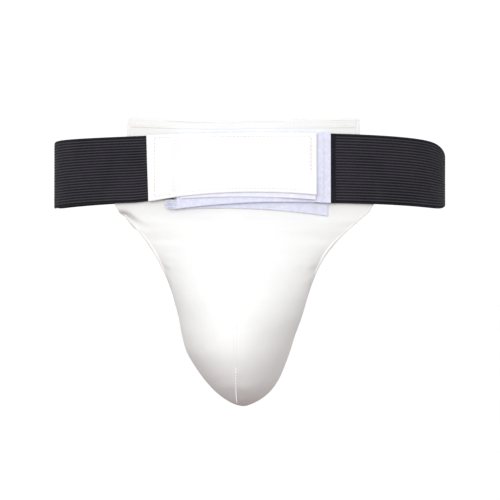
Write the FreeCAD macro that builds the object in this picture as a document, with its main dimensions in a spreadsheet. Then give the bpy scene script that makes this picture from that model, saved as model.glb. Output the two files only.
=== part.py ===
"""Groin protector: a moulded pouch with a hard cup on an elastic waistband.

The waist is the origin: it lies at the centre of the waistband ring. +Z is up, the wearer
faces -Y, and all sizes are millimetres. The front of the belt is a stack of curved layers:
the apron, a loop patch, the right strap's end panel and the closure tab, from the inside out.
"""
import FreeCAD, Part
import os
from math import pi

import Sketcher
from FreeCAD import Placement, Rotation, Vector

os.makedirs("parts", exist_ok=True)
doc = FreeCAD.newDocument("groin_protector")
sheet = doc.addObject("Spreadsheet::Sheet", "sizes")

# Driving dimensions. A layer of the belt is given by the short half axis of its ellipse.
SIZES = {
    "ring_stretch": 85.6,           # long half axis minus short half axis of every belt layer
    "band_outer": 100.0,
    "band_inner": 98.2,
    "band_half": 30.7,
    "band_reach": 106.0,            # how far the edge profile runs to front and back
    "front_rise": 2.0,              # the height of the band's middle at the front
    "side_rise": 0.8,               # at the hips
    "back_rise": 16.6,              # and at the back
    "left_end": -60.0,              # end of the left elastic, under the tab root
    "right_end": 64.0,              # end of the right elastic, under the loop panel
    "half_gap": 0.2,                # half the play at the two places where the belt opens
    "tab_outer": 104.2,
    "tab_inner": 102.9,
    "tab_left": -84.4,
    "tab_fold": -58.4,
    "tab_right": 66.4,
    "tab_top": 31.4,
    "tab_low_left": -28.2,
    "tab_middle": -5.0,
    "tab_low_middle": -20.1,
    "tab_low_right": -23.4,
    "root_inner": 100.1,
    "tab_hook_outer": 102.8,
    "tab_hook_inner": 101.6,
    "tab_hook_left": -54.0,
    "tab_hook_right": 65.4,
    "tab_hook_top": 27.5,
    "tab_hook_low_side": -26.4,
    "tab_hook_low_middle": -25.0,
    "loop_outer": 101.3,
    "loop_inner": 100.1,
    "loop_left": -57.0,
    "loop_tail": -68.0,             # the loop panel's frayed end below the belt
    "loop_tail_top": -31.8,
    "loop_right": 78.6,
    "loop_top": 31.6,
    "loop_low_left": -35.4,
    "loop_middle": 10.0,
    "loop_low_middle": -29.7,
    "loop_low_right": -30.4,
    "strap_hook_outer": 100.0,
    "strap_hook_inner": 98.2,
    "strap_hook_left": -55.5,
    "strap_hook_right": 63.4,
    "strap_hook_half": 27.0,
    "patch_outer": 98.1,
    "patch_inner": 96.7,
    "patch_left": -58.0,
    "patch_right": 76.0,
    "patch_top": 33.0,
    "patch_low_left": -35.6,
    "patch_low_right": -41.8,
    "apron_outer": 96.6,
    "apron_top": 47.5,
    "apron_top_half": 104.0,
    "wing_half": 117.0,
    "wing_drop": -29.5,
    "wing_corner_half": 112.5,
    "wing_corner_drop": -37.0,
    "waist_curve_half": 83.0,
    "waist_curve_drop": -67.0,
    "apron_low_half": 62.5,
    "apron_low": -102.0,
    "rim_binding_top": -103.0,      # the pouch's rim is bound below this height
    "binding": 3.0,
    "cover": 1.2,
    "foam": 4.0,
    "shell": 2.6,
    "lining": 1.1,
    "play": 0.1,                    # air between two neighbouring layers
    "hem_low": 38.5,
    "hem": 0.6,
    "dart_half": 2.6,
    "dart_top": -176.0,
    "dart_low": -207.0,
    "dart_back": -80.0,             # the strip ends here, under the pouch
    "dart": 0.8,
    "thread": 0.3,
    "thread_width": 0.8,
    "lift": 0.05,                   # air between a sewn-on piece and what it lies on
    "root_row_left": -77.8,         # the stitched box that holds the tab's root
    "root_row_right": -60.4,
    "root_row_low": -24.0,
    "tab_row_left": -57.4,          # the stitched frame that holds the tab's hook tape
    "tab_row_right": 61.6,
    "tab_row_low": -17.6,
    "row_top": 28.4,
    "loop_row_left": 72.0,          # the row that joins the loop panel to the right elastic
    "loop_row_low": -26.0,
    "loop_row_top": 28.0,
    "patch_row_left": 18.0,         # the row along the patch's low edge, clear of the panel
    "patch_row_right": 72.0,
    "patch_row_low": -38.4,
    "hem_row_half": 100.0,
    "hem_row_low": 41.0,
    "dash": 2.2,
    "dash_pitch": 3.4,
    "cup_top": -61.0,
    "gasket_depth": 5.0,
    "vent_radius": 3.0,
    "vent_pitch": 17.0,
    "vent_middle": -120.0,
    "vent_start": -90.0,            # the vents are drilled forwards from behind the cup's front
    "tail_thick": 2.4,
    "tail_patch": 1.0,
    "tail_patch_gap": 0.1,
    "leg_half": 10.0,
    "leg_thick": 1.6,
    "leg_low_centre": 10.4,
    "leg_top_centre": 55.0,
    "anchor_half": 15.0,
    "anchor_front": 87.6,
    "anchor_back": 88.8,
    "anchor_low": -6.0,
    "anchor_top": 16.0,
    "label_half": 12.0,
    "label_low": 4.0,
    "label_top": 34.0,
    "label": 0.3,
    "label_gap": 0.1,
}
for row, (alias, value) in enumerate(SIZES.items(), start=1):
    sheet.set(f"A{row}", alias)
    sheet.set(f"B{row}", str(value))
    sheet.setAlias(f"B{row}", alias)
doc.recompute()

# Stations of the pouch from its top to its tip: height, half width, depth of the front and of
# the rim, then how much of a layer's inset shows as lift, as lost width and as lost depth.
POUCH = [
    (-42.0, 60.0, -93.0, -85.5, 0.00, 1.0, 0.65),
    (-72.0, 67.0, -111.0, -85.0, 0.00, 1.0, 1.0),
    (-100.0, 63.5, -129.0, -84.0, 0.00, 1.0, 1.0),
    (-130.0, 55.0, -141.5, -80.0, 0.10, 1.0, 1.0),
    (-160.0, 46.0, -144.0, -72.0, 0.25, 1.0, 1.0),
    (-183.0, 35.0, -134.0, -61.5, 0.50, 1.0, 1.0),
    (-201.0, 20.5, -112.0, -51.5, 0.80, 0.8, 0.9),
    (-212.5, 5.0, -78.0, -46.0, 1.00, 0.1, 0.3),
]
# A leg strap from the crotch tail to the back of the belt: height, depth and depth thickness
# factor of each level section, and its place between the low and the top centre.
LEG_STRAP = [
    (-200.0, -22.0, 1.7, 0.00),
    (-150.0, 22.0, 1.45, 0.22),
    (-90.0, 58.0, 1.25, 0.52),
    (-30.0, 85.0, 1.15, 0.86),
    (-19.0, 90.0, 1.05, 0.96),
    (12.0, 90.4, 1.00, 1.00),
]
# The crotch tail from the pouch's tip to its rear end: depth, height and half width.
TAIL = [
    (-46.0, -205.6, 9.0),
    (-28.0, -202.6, 17.0),
    (-12.0, -199.6, 20.0),
]
LARGEST_PIECE = 250000.0            # mm3; every piece is a thin layer, so a bigger one isn't hollow
REACH = 150.0                       # half length of every prism that only cuts
END_MARGIN = 8.0                    # the rim zone runs past the pouch's ends
BEHIND = 60.0                       # how far a cutting pouch runs behind its rim


def size(alias):
    """The sheet's number for an alias, or its negative for an alias with a minus sign."""
    return -size(alias[1:]) if alias.startswith("-") else float(sheet.get(alias))


def cell(alias):
    return "-sizes." + alias[1:] if alias.startswith("-") else "sizes." + alias


def bind(item, **expressions):
    for name, text in expressions.items():
        item.setExpression(name.replace("__", "."), text)


def add(kind, label):
    item = doc.addObject(kind, label)
    item.Label = label
    return item


def boolean(kind, label, base, tool):
    item = add("Part::" + kind, label)
    item.Base = base
    item.Tool = tool
    return item


def fuse(label, *shapes):
    item = add("Part::MultiFuse", label)
    item.Shapes = list(shapes)
    return item


def box(label, x, y, z):
    """A box between two expressions along each axis."""
    item = add("Part::Box", label)
    bind(item, Length=f"{x[1]} - ({x[0]})", Width=f"{y[1]} - ({y[0]})", Height=f"{z[1]} - ({z[0]})",
         Placement__Base__x=x[0], Placement__Base__y=y[0], Placement__Base__z=z[0])
    return item


def extrude(label, base, direction, length, symmetric=False):
    item = add("Part::Extrusion", label)
    item.Base = base
    item.DirMode = "Custom"
    item.Dir = direction
    item.LengthFwd = length
    item.Solid = True
    item.Symmetric = symmetric
    return item


def column(label, short_axis):
    """A solid elliptic column; short_axis is the expression of its half depth."""
    ellipse = add("Part::Ellipse", label + "_base")
    bind(ellipse, MajorRadius=f"{short_axis} + sizes.ring_stretch", MinorRadius=short_axis)
    ellipse.Placement = Placement(Vector(0, 0, -REACH), Rotation())
    return extrude(label, ellipse, Vector(0, 0, 1), 2 * REACH)


def skin(label, outer, inner):
    """The curved sheet between two elliptic columns."""
    return boolean("Cut", label, column(label + "_outside", outer), column(label + "_inside", inner))


def sketch_of(label, points, rotation):
    """A closed outline of bound corners. Each point is (across, up) or (across, up, via), where
    via is a point on the arc that leads to the next corner."""
    sketch = add("Sketcher::SketchObject", label)
    sketch.Placement = Placement(Vector(), rotation)
    corners = [Vector(size(p[0]), size(p[1]), 0) for p in points]
    for index, point in enumerate(points):
        after = corners[(index + 1) % len(points)]
        if len(point) == 3:
            via = Vector(size(point[2][0]), size(point[2][1]), 0)
            edge = sketch.addGeometry(Part.Arc(corners[index], via, after))
            mark = sketch.addGeometry(Part.Point(via), True)
            pin(sketch, mark, 1, point[2])
            sketch.addConstraint(Sketcher.Constraint("PointOnObject", mark, 1, edge))
        else:
            edge = sketch.addGeometry(Part.LineSegment(corners[index], after))
        for end in (1, 2):
            at_start = sketch.getPoint(edge, end).distanceToPoint(corners[index]) < 1e-6
            pin(sketch, edge, end, point if at_start else points[(index + 1) % len(points)])
    return sketch


def pin(sketch, edge, end, point):
    """Binds one end of an edge to the sheet's cells."""
    for kind, alias in (("DistanceX", point[0]), ("DistanceY", point[1])):
        index = sketch.addConstraint(Sketcher.Constraint(kind, -1, 1, edge, end, size(alias)))
        sketch.setExpression(f"Constraints[{index}]", cell(alias))


def front_outline(label, points, inset=None):
    """A prism over an outline in the front view, from the middle of the belt to the front."""
    sketch = sketch_of(label + "_sketch", points, Rotation(Vector(1, 0, 0), 90))
    if inset:
        offset = add("Part::Offset2D", label + "_inset")
        offset.Source = sketch
        bind(offset, Value="-" + inset)
        sketch = offset
    return extrude(label, sketch, Vector(0, -1, 0), REACH)


def pouch(label, inset, back=0.0):
    """The solid pouch, smaller by inset on every side, with its flat back at the rim or further
    behind it. Each section is a half ellipse closed by straight sides."""
    sections = []
    for index, (height, half, front, rim, lift, narrowing, thinning) in enumerate(POUCH):
        wide = half - inset * narrowing
        deep = rim - front - inset * thinning
        level = height + inset * lift
        middle = Vector(0, rim, level)
        left = Vector(-wide, rim, level)
        right = Vector(wide, rim, level)
        nose = Vector(0, rim - deep, level)
        if wide >= deep:
            arc = Part.ArcOfEllipse(Part.Ellipse(right, Vector(0, rim + deep, level), middle), pi, 2 * pi)
        else:
            arc = Part.ArcOfEllipse(Part.Ellipse(nose, right, middle), -pi / 2, pi / 2)
        behind = Vector(0, back, 0)
        corners = [right, right + behind, left + behind, left] if back else [right, left]
        edges = [Part.LineSegment(a, b).toShape() for a, b in zip(corners, corners[1:])]
        section = add("Part::Feature", f"{label}_section_{index}")
        section.Shape = Part.Wire([arc.toShape()] + edges)
        sections.append(section)
    loft = add("Part::Loft", label)
    loft.Sections = sections
    loft.Solid = True
    return loft


def rim_zone(label, depth):
    """Everything behind a surface that lies depth in front of the pouch's rim."""
    sections = []
    for index, (height, _, _, rim, *_) in enumerate(POUCH):
        near = rim - depth
        level = height - END_MARGIN * (index == len(POUCH) - 1) + END_MARGIN * (index == 0)
        corners = [Vector(x, y, level) for x, y in
                   ((-REACH, near), (REACH, near), (REACH, REACH), (-REACH, REACH), (-REACH, near))]
        section = add("Part::Feature", f"{label}_section_{index}")
        section.Shape = Part.makePolygon(corners)
        sections.append(section)
    loft = add("Part::Loft", label)
    loft.Sections = sections
    loft.Solid = True
    return loft


NODES = []


def node(item, name):
    """Gives a finished piece the name of its file."""
    item.Label = name
    NODES.append(item)
    return item


# --- waistband -------------------------------------------------------------------------------

def band_profile():
    """The band seen from the side, between two arcs through front, hip and back."""
    reach = size("band_reach")
    half = size("band_half")
    middle = [(-reach, size("front_rise")), (0, size("side_rise")), (reach, size("back_rise"))]
    edges = [[Vector(0, y, z + offset) for y, z in middle] for offset in (half, -half)]
    top, low = edges
    wire = Part.Wire([
        Part.Arc(*top).toShape(),
        Part.LineSegment(top[2], low[2]).toShape(),
        Part.Arc(*reversed(low)).toShape(),
        Part.LineSegment(low[0], top[0]).toShape(),
    ])
    item = add("Part::Feature", "band_profile")
    item.Shape = wire
    return extrude("band_slab", item, Vector(1, 0, 0), 4 * REACH, symmetric=True)


def waistband():
    ring = skin("band_ring", "sizes.band_outer", "sizes.band_inner")
    band = boolean("Common", "band", ring, band_profile())
    left_front = box("left_front", (f"-{2 * REACH}", "sizes.left_end"), (f"-{REACH}", "-sizes.half_gap"),
                     (f"-{REACH}", f"{REACH}"))
    opening = box("band_opening", (f"-{2 * REACH}", "sizes.right_end"), (f"-{REACH}", "sizes.half_gap"),
                  (f"-{REACH}", f"{REACH}"))
    node(boolean("Cut", "waistband", band, opening), "waistband_elastic")
    node(boolean("Common", "left_strap", band, left_front), "left_strap_elastic")


def closure_tab():
    outline = front_outline("tab", [
        ("tab_left", "tab_top"),
        ("tab_right", "tab_top"),
        ("tab_right", "tab_low_right", ("tab_middle", "tab_low_middle")),
        ("tab_left", "tab_low_left"),
    ])
    root_side = box("root_side", (f"-{REACH}", "sizes.tab_fold - sizes.half_gap"), (f"-{REACH}", "0"),
                    (f"-{REACH}", f"{REACH}"))
    flap_side = box("flap_side", ("sizes.tab_fold + sizes.half_gap", f"{REACH}"), (f"-{REACH}", "0"),
                    (f"-{REACH}", f"{REACH}"))
    root = boolean("Common", "root_blank", skin("root_skin", "sizes.tab_outer", "sizes.root_inner"), outline)
    flap = boolean("Common", "flap_blank", skin("flap_skin", "sizes.tab_outer", "sizes.tab_inner"), outline)
    node(boolean("Common", "root", root, root_side), "closure_tab_root")
    node(boolean("Common", "flap", flap, flap_side), "closure_tab_cover")
    hook_outline = front_outline("tab_hook", [
        ("tab_hook_left", "tab_hook_top"),
        ("tab_hook_right", "tab_hook_top"),
        ("tab_hook_right", "tab_hook_low_side", ("tab_middle", "tab_hook_low_middle")),
        ("tab_hook_left", "tab_hook_low_side"),
    ])
    hook_skin = skin("tab_hook_skin", "sizes.tab_hook_outer", "sizes.tab_hook_inner")
    node(boolean("Common", "tab_hook_piece", hook_skin, hook_outline), "closure_tab_hook")


def stitch_frame(name, surface, x, z):
    """A rectangle of thread lying on the outer face of a belt layer."""
    face = f"{surface} + sizes.lift"
    thread = skin(name + "_skin", face + " + sizes.thread", face)
    width = "sizes.thread_width"
    outside = box(name + "_outer", x, (f"-{REACH}", "0"), z)
    inside = box(name + "_inner", (f"{x[0]} + {width}", f"{x[1]} - {width}"), (f"-{REACH}", "0"),
                 (f"{z[0]} + {width}", f"{z[1]} - {width}"))
    frame = boolean("Cut", name + "_frame", outside, inside)
    node(boolean("Common", name + "_piece", thread, frame), name)


def stitch_bar(name, surface, x, z):
    """A straight row of thread lying on the outer face of a belt layer."""
    face = f"{surface} + sizes.lift"
    thread = skin(name + "_skin", face + " + sizes.thread", face)
    bar = box(name + "_bar", x, (f"-{REACH}", "0"), z)
    node(boolean("Common", name + "_piece", thread, bar), name)


def right_strap():
    outline = front_outline("loop", [
        ("loop_left", "loop_top"),
        ("loop_right", "loop_top"),
        ("loop_right", "loop_low_right", ("loop_middle", "loop_low_middle")),
        ("loop_left", "loop_low_left"),
        ("loop_tail", "loop_low_left"),
        ("loop_tail", "loop_tail_top"),
        ("loop_left", "loop_tail_top"),
    ])
    loop_skin = skin("loop_skin", "sizes.loop_outer", "sizes.loop_inner")
    node(boolean("Common", "loop_piece", loop_skin, outline), "right_strap_loop")
    hook_skin = skin("strap_hook_skin", "sizes.strap_hook_outer", "sizes.strap_hook_inner")
    block = box("strap_hook_block", ("sizes.strap_hook_left", "sizes.strap_hook_right"), (f"-{REACH}", "0"),
                ("-sizes.strap_hook_half", "sizes.strap_hook_half"))
    node(boolean("Common", "strap_hook_piece", hook_skin, block), "right_strap_hook")


def loop_patch():
    outline = front_outline("patch", [
        ("patch_left", "patch_top"),
        ("patch_right", "patch_top"),
        ("patch_right", "patch_low_right"),
        ("patch_left", "patch_low_left"),
    ])
    patch_skin = skin("patch_skin", "sizes.patch_outer", "sizes.patch_inner")
    node(boolean("Common", "patch_piece", patch_skin, outline), "apron_loop_patch")


def row_of_thread(start):
    """The two sides of one row of thread, from the expression of its lower or left side."""
    return (start, start + " + sizes.thread_width")


def belt_stitches():
    stitch_frame("root_box_stitch", "sizes.tab_outer", ("sizes.root_row_left", "sizes.root_row_right"),
                 ("sizes.root_row_low", "sizes.row_top"))
    stitch_frame("tab_stitch", "sizes.tab_outer", ("sizes.tab_row_left", "sizes.tab_row_right"),
                 ("sizes.tab_row_low", "sizes.row_top"))
    stitch_bar("right_strap_stitch", "sizes.loop_outer", row_of_thread("sizes.loop_row_left"),
               ("sizes.loop_row_low", "sizes.loop_row_top"))
    stitch_bar("patch_stitch", "sizes.patch_outer", ("sizes.patch_row_left", "sizes.patch_row_right"),
               row_of_thread("sizes.patch_row_low"))


# --- apron and pouch -------------------------------------------------------------------------

APRON = [
    ("-apron_top_half", "apron_top"),
    ("apron_top_half", "apron_top"),
    ("wing_half", "wing_drop"),
    ("wing_corner_half", "wing_corner_drop", ("waist_curve_half", "waist_curve_drop")),
    ("apron_low_half", "apron_low"),
    ("-apron_low_half", "apron_low", ("-waist_curve_half", "waist_curve_drop")),
    ("-wing_corner_half", "wing_corner_drop"),
    ("-wing_half", "wing_drop"),
]


def depths():
    """How far each layer's outer face lies behind the front of the cover."""
    play = size("play")
    deep = {"cover": 0.0}
    deep["foam"] = size("cover") + play
    deep["shell"] = deep["foam"] + size("foam") + play
    deep["lining"] = deep["shell"] + size("shell") + play
    deep["inside"] = deep["lining"] + size("lining")
    deep["apron_inside"] = deep["shell"] + size("lining")
    return deep


DEEP = depths()


def apron_column(label, inset):
    return column(label, f"sizes.apron_outer - {inset}")


def front_layers(inner, above, rim):
    """The cover and the foam: a curved sheet with the pouch growing out of it."""
    for name, start, end in (("front_cover", "cover", "foam"), ("foam_pad", "foam", "shell")):
        near = DEEP[start]
        far = DEEP[end] - size("play")
        core = boolean("Common", name + "_core", apron_column(name + "_back", far), above)
        cavity = pouch(name + "_cavity", far, BEHIND)
        sheet_solid = boolean("Common", name + "_sheet", apron_column(name + "_face", near), inner)
        flat = boolean("Cut", name + "_flat", boolean("Cut", name + "_thin_sheet", sheet_solid, core), cavity)
        bowl = boolean("Cut", name + "_bowl", pouch(name + "_pouch", near), cavity)
        wall = boolean("Cut", name + "_wall", bowl, core)
        layer = fuse(name + "_layer", flat, wall)
        node(boolean("Cut", name + "_trimmed", layer, rim), name)


def apron_back(inner):
    """The lining behind the apron, open over the cup, and the binding round the apron."""
    footprint = pouch("lining_opening", DEEP["shell"] - size("play"), BEHIND)
    flat = boolean("Common", "lining_sheet", apron_column("lining_face", DEEP["shell"]), inner)
    layer = boolean("Cut", "lining_layer", flat, apron_column("lining_back", DEEP["apron_inside"]))
    node(boolean("Cut", "lining_trimmed", layer, footprint), "apron_lining")
    face = f"sizes.apron_outer - {DEEP['apron_inside']} - sizes.label_gap"
    label_skin = skin("label_skin", face, face + " - sizes.label")
    block = box("label_block", ("-sizes.label_half", "sizes.label_half"), (f"-{REACH}", "0"),
                ("sizes.label_low", "sizes.label_top"))
    node(boolean("Common", "label_piece", label_skin, block), "care_label")


def edge_binding(outer, inner, rim):
    """The folded tape round the apron, and round the pouch's rim below it."""
    slab = boolean("Common", "binding_slab", apron_column("binding_face", 0.0), outer)
    hollow = boolean("Cut", "binding_sheet", slab, apron_column("binding_back", DEEP["apron_inside"]))
    frame = boolean("Cut", "binding_frame", hollow, inner)
    apron_part = boolean("Cut", "binding_apron", frame, pouch("binding_opening", -size("play"), BEHIND))
    wall = boolean("Cut", "binding_wall", pouch("binding_pouch", 0.0),
                   pouch("binding_cavity", DEEP["shell"] - size("play"), BEHIND))
    rim_part = boolean("Common", "binding_rim", wall, rim)
    node(fuse("binding_pieces", apron_part, rim_part), "edge_binding")


def cup():
    """The hard cup with its vent holes, the soft gasket on its rim and its own lining."""
    below = box("cup_height", (f"-{REACH}", f"{REACH}"), (f"-2 * {REACH}", f"{REACH}"),
                (f"-2 * {REACH}", "sizes.cup_top"))
    solid = boolean("Cut", "cup_blank", pouch("cup_face", DEEP["shell"]),
                    pouch("cup_cavity", DEEP["lining"] - size("play"), BEHIND))
    wall = boolean("Common", "cup_wall", solid, below)
    zone = rim_zone("gasket_zone", size("gasket_depth"))
    node(boolean("Common", "gasket_piece", wall, zone), "cup_rim_gasket")
    vents = []
    for across in (-1, 0, 1):
        for up in (-1, 0, 1):
            hole = add("Part::Cylinder", f"vent_{across + 1}_{up + 1}")
            hole.Height = REACH
            hole.Placement = Placement(Vector(), Rotation(Vector(1, 0, 0), 90))
            bind(hole, Radius="sizes.vent_radius", Placement__Base__y="sizes.vent_start",
                 Placement__Base__x=f"{across} * sizes.vent_pitch",
                 Placement__Base__z=f"sizes.vent_middle + {up} * sizes.vent_pitch")
            vents.append(hole)
    shell = boolean("Cut", "cup_trimmed", wall, rim_zone("shell_zone", size("gasket_depth") + size("play")))
    node(boolean("Cut", "cup_vented", shell, fuse("vents", *vents)), "cup_shell")
    inner_wall = boolean("Cut", "cup_lining_blank", pouch("cup_lining_face", DEEP["lining"]),
                         pouch("cup_lining_cavity", DEEP["inside"], BEHIND))
    node(boolean("Common", "cup_lining_piece", inner_wall, below), "cup_lining")


def hem(outer):
    wide = (f"-{REACH}", f"{REACH}")
    band = box("hem_band", wide, (f"-{REACH}", "0"), ("sizes.hem_low", "sizes.apron_top"))
    face = "sizes.apron_outer + sizes.lift"
    folded = boolean("Common", "hem_folded", skin("hem_skin", f"{face} + sizes.hem", face), outer)
    node(boolean("Common", "hem_piece", folded, band), "top_hem")
    stitch_bar("hem_stitch", f"{face} + sizes.hem", ("-sizes.hem_row_half", "sizes.hem_row_half"),
               row_of_thread("sizes.hem_row_low"))


def dart():
    """The lapped strip that closes the pouch's centre dart, and its row of stitches."""
    lift = size("lift")
    depth = (f"-2 * {REACH}", "sizes.dart_back")
    strip = boolean("Cut", "dart_blank", pouch("dart_outside", -lift - size("dart")),
                    pouch("dart_inside", -lift))
    block = box("dart_block", ("-sizes.dart_half", "sizes.dart_half"), depth,
                ("sizes.dart_low", "sizes.dart_top"))
    node(boolean("Common", "dart_piece", strip, block), "dart_strip")
    face = -lift - size("dart") - lift
    thread = boolean("Cut", "dart_thread", pouch("dart_thread_outside", face - size("thread")),
                     pouch("dart_thread_inside", face))
    dashes = []
    count = int((size("dart_top") - size("dart_low") - 2 * size("dash")) / size("dash_pitch"))
    for index in range(count):
        top = f"sizes.dart_top - sizes.dash - {index} * sizes.dash_pitch"
        dashes.append(box(f"dart_dash_{index}", ("-sizes.thread_width / 2", "sizes.thread_width / 2"),
                          depth, (f"{top} - sizes.dash", top)))
    node(boolean("Common", "dart_stitch_piece", thread, fuse("dart_dashes", *dashes)), "dart_stitch")


def ruled_loft(label, sections):
    item = add("Part::Loft", label)
    item.Sections = sections
    item.Solid = True
    item.Ruled = True
    return item


def crotch_tail():
    """The tongue behind the pouch's tip that carries the leg straps, and its sewn patch."""
    patch_drop = -(size("tail_thick") + size("tail_patch")) / 2 - size("tail_patch_gap")
    for name, drop, thick, stations in (
            ("crotch_tail", 0.0, size("tail_thick"), TAIL),
            ("tail_patch", patch_drop, size("tail_patch"), TAIL[1:])):
        sections = []
        for index, (depth, height, half) in enumerate(stations):
            plane = add("Part::Plane", f"{name}_section_{index}")
            plane.Length = 2 * half
            plane.Width = thick
            plane.Placement = Placement(Vector(-half, depth, height + drop - thick / 2),
                                        Rotation(Vector(1, 0, 0), 90))
            sections.append(plane)
        node(ruled_loft(name + "_piece", sections), name)


def leg_straps():
    for side, sign in (("left", "-1"), ("right", "1")):
        sections = []
        for index, (height, depth, factor, spread) in enumerate(LEG_STRAP):
            plane = add("Part::Plane", f"{side}_leg_section_{index}")
            plane.Placement = Placement(Vector(0, 0, height), Rotation())
            centre = f"(sizes.leg_low_centre + {spread} * (sizes.leg_top_centre - sizes.leg_low_centre))"
            bind(plane, Length="2 * sizes.leg_half", Width=f"{factor} * sizes.leg_thick",
                 Placement__Base__x=f"{sign} * {centre} - sizes.leg_half",
                 Placement__Base__y=f"{depth} - {factor} * sizes.leg_thick / 2")
            sections.append(plane)
        node(ruled_loft(f"{side}_leg_piece", sections), f"{side}_leg_strap")
        middle = f"{sign} * sizes.leg_top_centre"
        node(box(f"{side}_anchor_piece", (f"{middle} - sizes.anchor_half", f"{middle} + sizes.anchor_half"),
                 ("sizes.anchor_front", "sizes.anchor_back"), ("sizes.anchor_low", "sizes.anchor_top")),
             f"{side}_strap_anchor")


def main():
    waistband()
    closure_tab()
    right_strap()
    loop_patch()
    belt_stitches()
    outer = front_outline("apron", APRON)
    inner = front_outline("apron_inner", APRON, inset="sizes.binding")
    wide = (f"-{REACH}", f"{REACH}")
    above = box("apron_side", wide, (f"-{REACH}", "0"), ("sizes.apron_low", f"{REACH}"))
    deep = (f"-2 * {REACH}", f"2 * {REACH}")
    low = box("pouch_side", wide, deep, (f"-2 * {REACH}", "sizes.rim_binding_top"))
    rim = boolean("Common", "low_rim", rim_zone("rim_zone", size("binding")), low)
    front_layers(inner, above, rim)
    apron_back(inner)
    edge_binding(outer, inner, rim)
    cup()
    hem(outer)
    dart()
    crotch_tail()
    leg_straps()
    finish()


def finish():
    """Recomputes the model, checks every object and writes one file for each node."""
    doc.recompute()
    for item in doc.Objects:
        if "Invalid" in item.State or "Error" in item.State:
            raise RuntimeError(f"{item.Label} failed: {item.State}")
    for item in NODES:
        if item.Shape.isNull() or not item.Shape.isValid() or not item.Shape.Solids:
            raise RuntimeError(f"{item.Label} has no valid solid")
        if item.Shape.Volume > LARGEST_PIECE:
            raise RuntimeError(f"{item.Label} is {item.Shape.Volume:.0f} mm3: a hollow in it wasn't cut")
    for item in NODES:
        item.Shape.exportStep(f"parts/{item.Label}.step")
        print(item.Label, len(item.Shape.Solids), "solids,", round(item.Shape.Volume), "mm3")


main()
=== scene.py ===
"""Looks of the groin protector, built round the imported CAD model.

All points are metres in the row frame: the waist is the origin, +Z is up and the wearer faces -Y.
Left and right are meant as the front is looked at, so left is negative X. Every soft piece is a grid
of points with a thickness, so each has a real front, back and edge.
"""
import math

import bmesh
import bpy
import numpy as np
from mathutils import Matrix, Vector


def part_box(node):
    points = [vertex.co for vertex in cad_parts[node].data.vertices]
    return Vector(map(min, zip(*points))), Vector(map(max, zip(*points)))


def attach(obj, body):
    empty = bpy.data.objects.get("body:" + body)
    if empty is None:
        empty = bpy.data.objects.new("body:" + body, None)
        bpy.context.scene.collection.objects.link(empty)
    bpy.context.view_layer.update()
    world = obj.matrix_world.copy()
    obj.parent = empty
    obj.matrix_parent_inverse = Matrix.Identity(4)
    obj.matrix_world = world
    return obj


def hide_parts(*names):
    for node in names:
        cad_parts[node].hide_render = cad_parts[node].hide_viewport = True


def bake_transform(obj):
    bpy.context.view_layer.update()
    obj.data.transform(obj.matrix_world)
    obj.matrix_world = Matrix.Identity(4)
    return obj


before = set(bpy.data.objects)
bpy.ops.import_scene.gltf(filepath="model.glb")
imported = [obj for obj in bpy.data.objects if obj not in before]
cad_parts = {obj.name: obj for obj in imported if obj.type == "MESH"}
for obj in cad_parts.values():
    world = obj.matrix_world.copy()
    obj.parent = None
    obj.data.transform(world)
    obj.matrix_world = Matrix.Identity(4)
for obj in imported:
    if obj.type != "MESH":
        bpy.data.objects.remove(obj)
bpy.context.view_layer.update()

MM = 0.001
CLOTH_UV = "cloth"                      # a UV map in metres along and across each piece


def low(node):
    return np.array(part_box(node)[0])


def high(node):
    return np.array(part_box(node)[1])


# --- places read from the frame --------------------------------------------------------------

BELT = high("waistband_elastic")[1]                      # short half axis of the belt's outer face
STRETCH = high("waistband_elastic")[0] - BELT            # the belt's ellipse is this much wider
BELT_HALF = 30.7 * MM                                    # half the webbing's width
BELT_THICK = 1.8 * MM
BACK_RISE = high("waistband_elastic")[2] - BELT_HALF     # the belt rides higher at the back
TAB_LEFT = low("closure_tab_root")[0]
TAB_RIGHT = high("closure_tab_cover")[0]
TAB_TOP = high("closure_tab_cover")[2]
LOOP_RIGHT = high("right_strap_loop")[0]
LOOP_LEFT = low("right_strap_loop")[0]
LOOP_TOP = high("right_strap_loop")[2]
PATCH_TOP = high("apron_loop_patch")[2]
APRON_FACE = 96.6 * MM                                   # short half axis of the apron's front
APRON_TOP = high("front_cover")[2] + 3 * MM              # the cover stops under the binding
TIP = low("edge_binding")[2]

COVER = 1.2 * MM
FOAM = 4.0 * MM
LINING = 1.1 * MM
SHELL = 2.6 * MM
PLAY = 0.1 * MM
FOAM_DEPTH = COVER + PLAY
LINING_DEPTH = FOAM_DEPTH + FOAM + PLAY
CUP_LINING_DEPTH = LINING_DEPTH + SHELL + PLAY


# --- meshes ----------------------------------------------------------------------------------

def mesh_object(name, points, faces, uv=None):
    """A smooth mesh with this name. uv holds a pair in metres for each point."""
    mesh = bpy.data.meshes.new(name)
    mesh.from_pydata(np.asarray(points).reshape(-1, 3).tolist(), [], faces)
    mesh.validate()
    if uv is not None:
        corners = np.zeros(len(mesh.loops), dtype=np.int32)
        mesh.loops.foreach_get("vertex_index", corners)
        layer = mesh.uv_layers.new(name=CLOTH_UV)
        layer.data.foreach_set("uv", np.asarray(uv).reshape(-1, 2)[corners].astype(np.float32).ravel())
    mesh.polygons.foreach_set("use_smooth", np.ones(len(mesh.polygons), dtype=bool))
    item = bpy.data.objects.new(name, mesh)
    bpy.context.scene.collection.objects.link(item)
    return item


def unit(vectors):
    return vectors / np.maximum(np.linalg.norm(vectors, axis=-1, keepdims=True), 1e-12)


def together(*parts):
    """Arrays side by side in a new last axis, each spread to the shape of all."""
    return np.stack(np.broadcast_arrays(*parts), axis=-1)


def walked(path):
    """The distance walked along a path, at each of its points."""
    return np.concatenate([[0], np.cumsum(np.linalg.norm(np.diff(path, axis=0), axis=1))])


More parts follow.
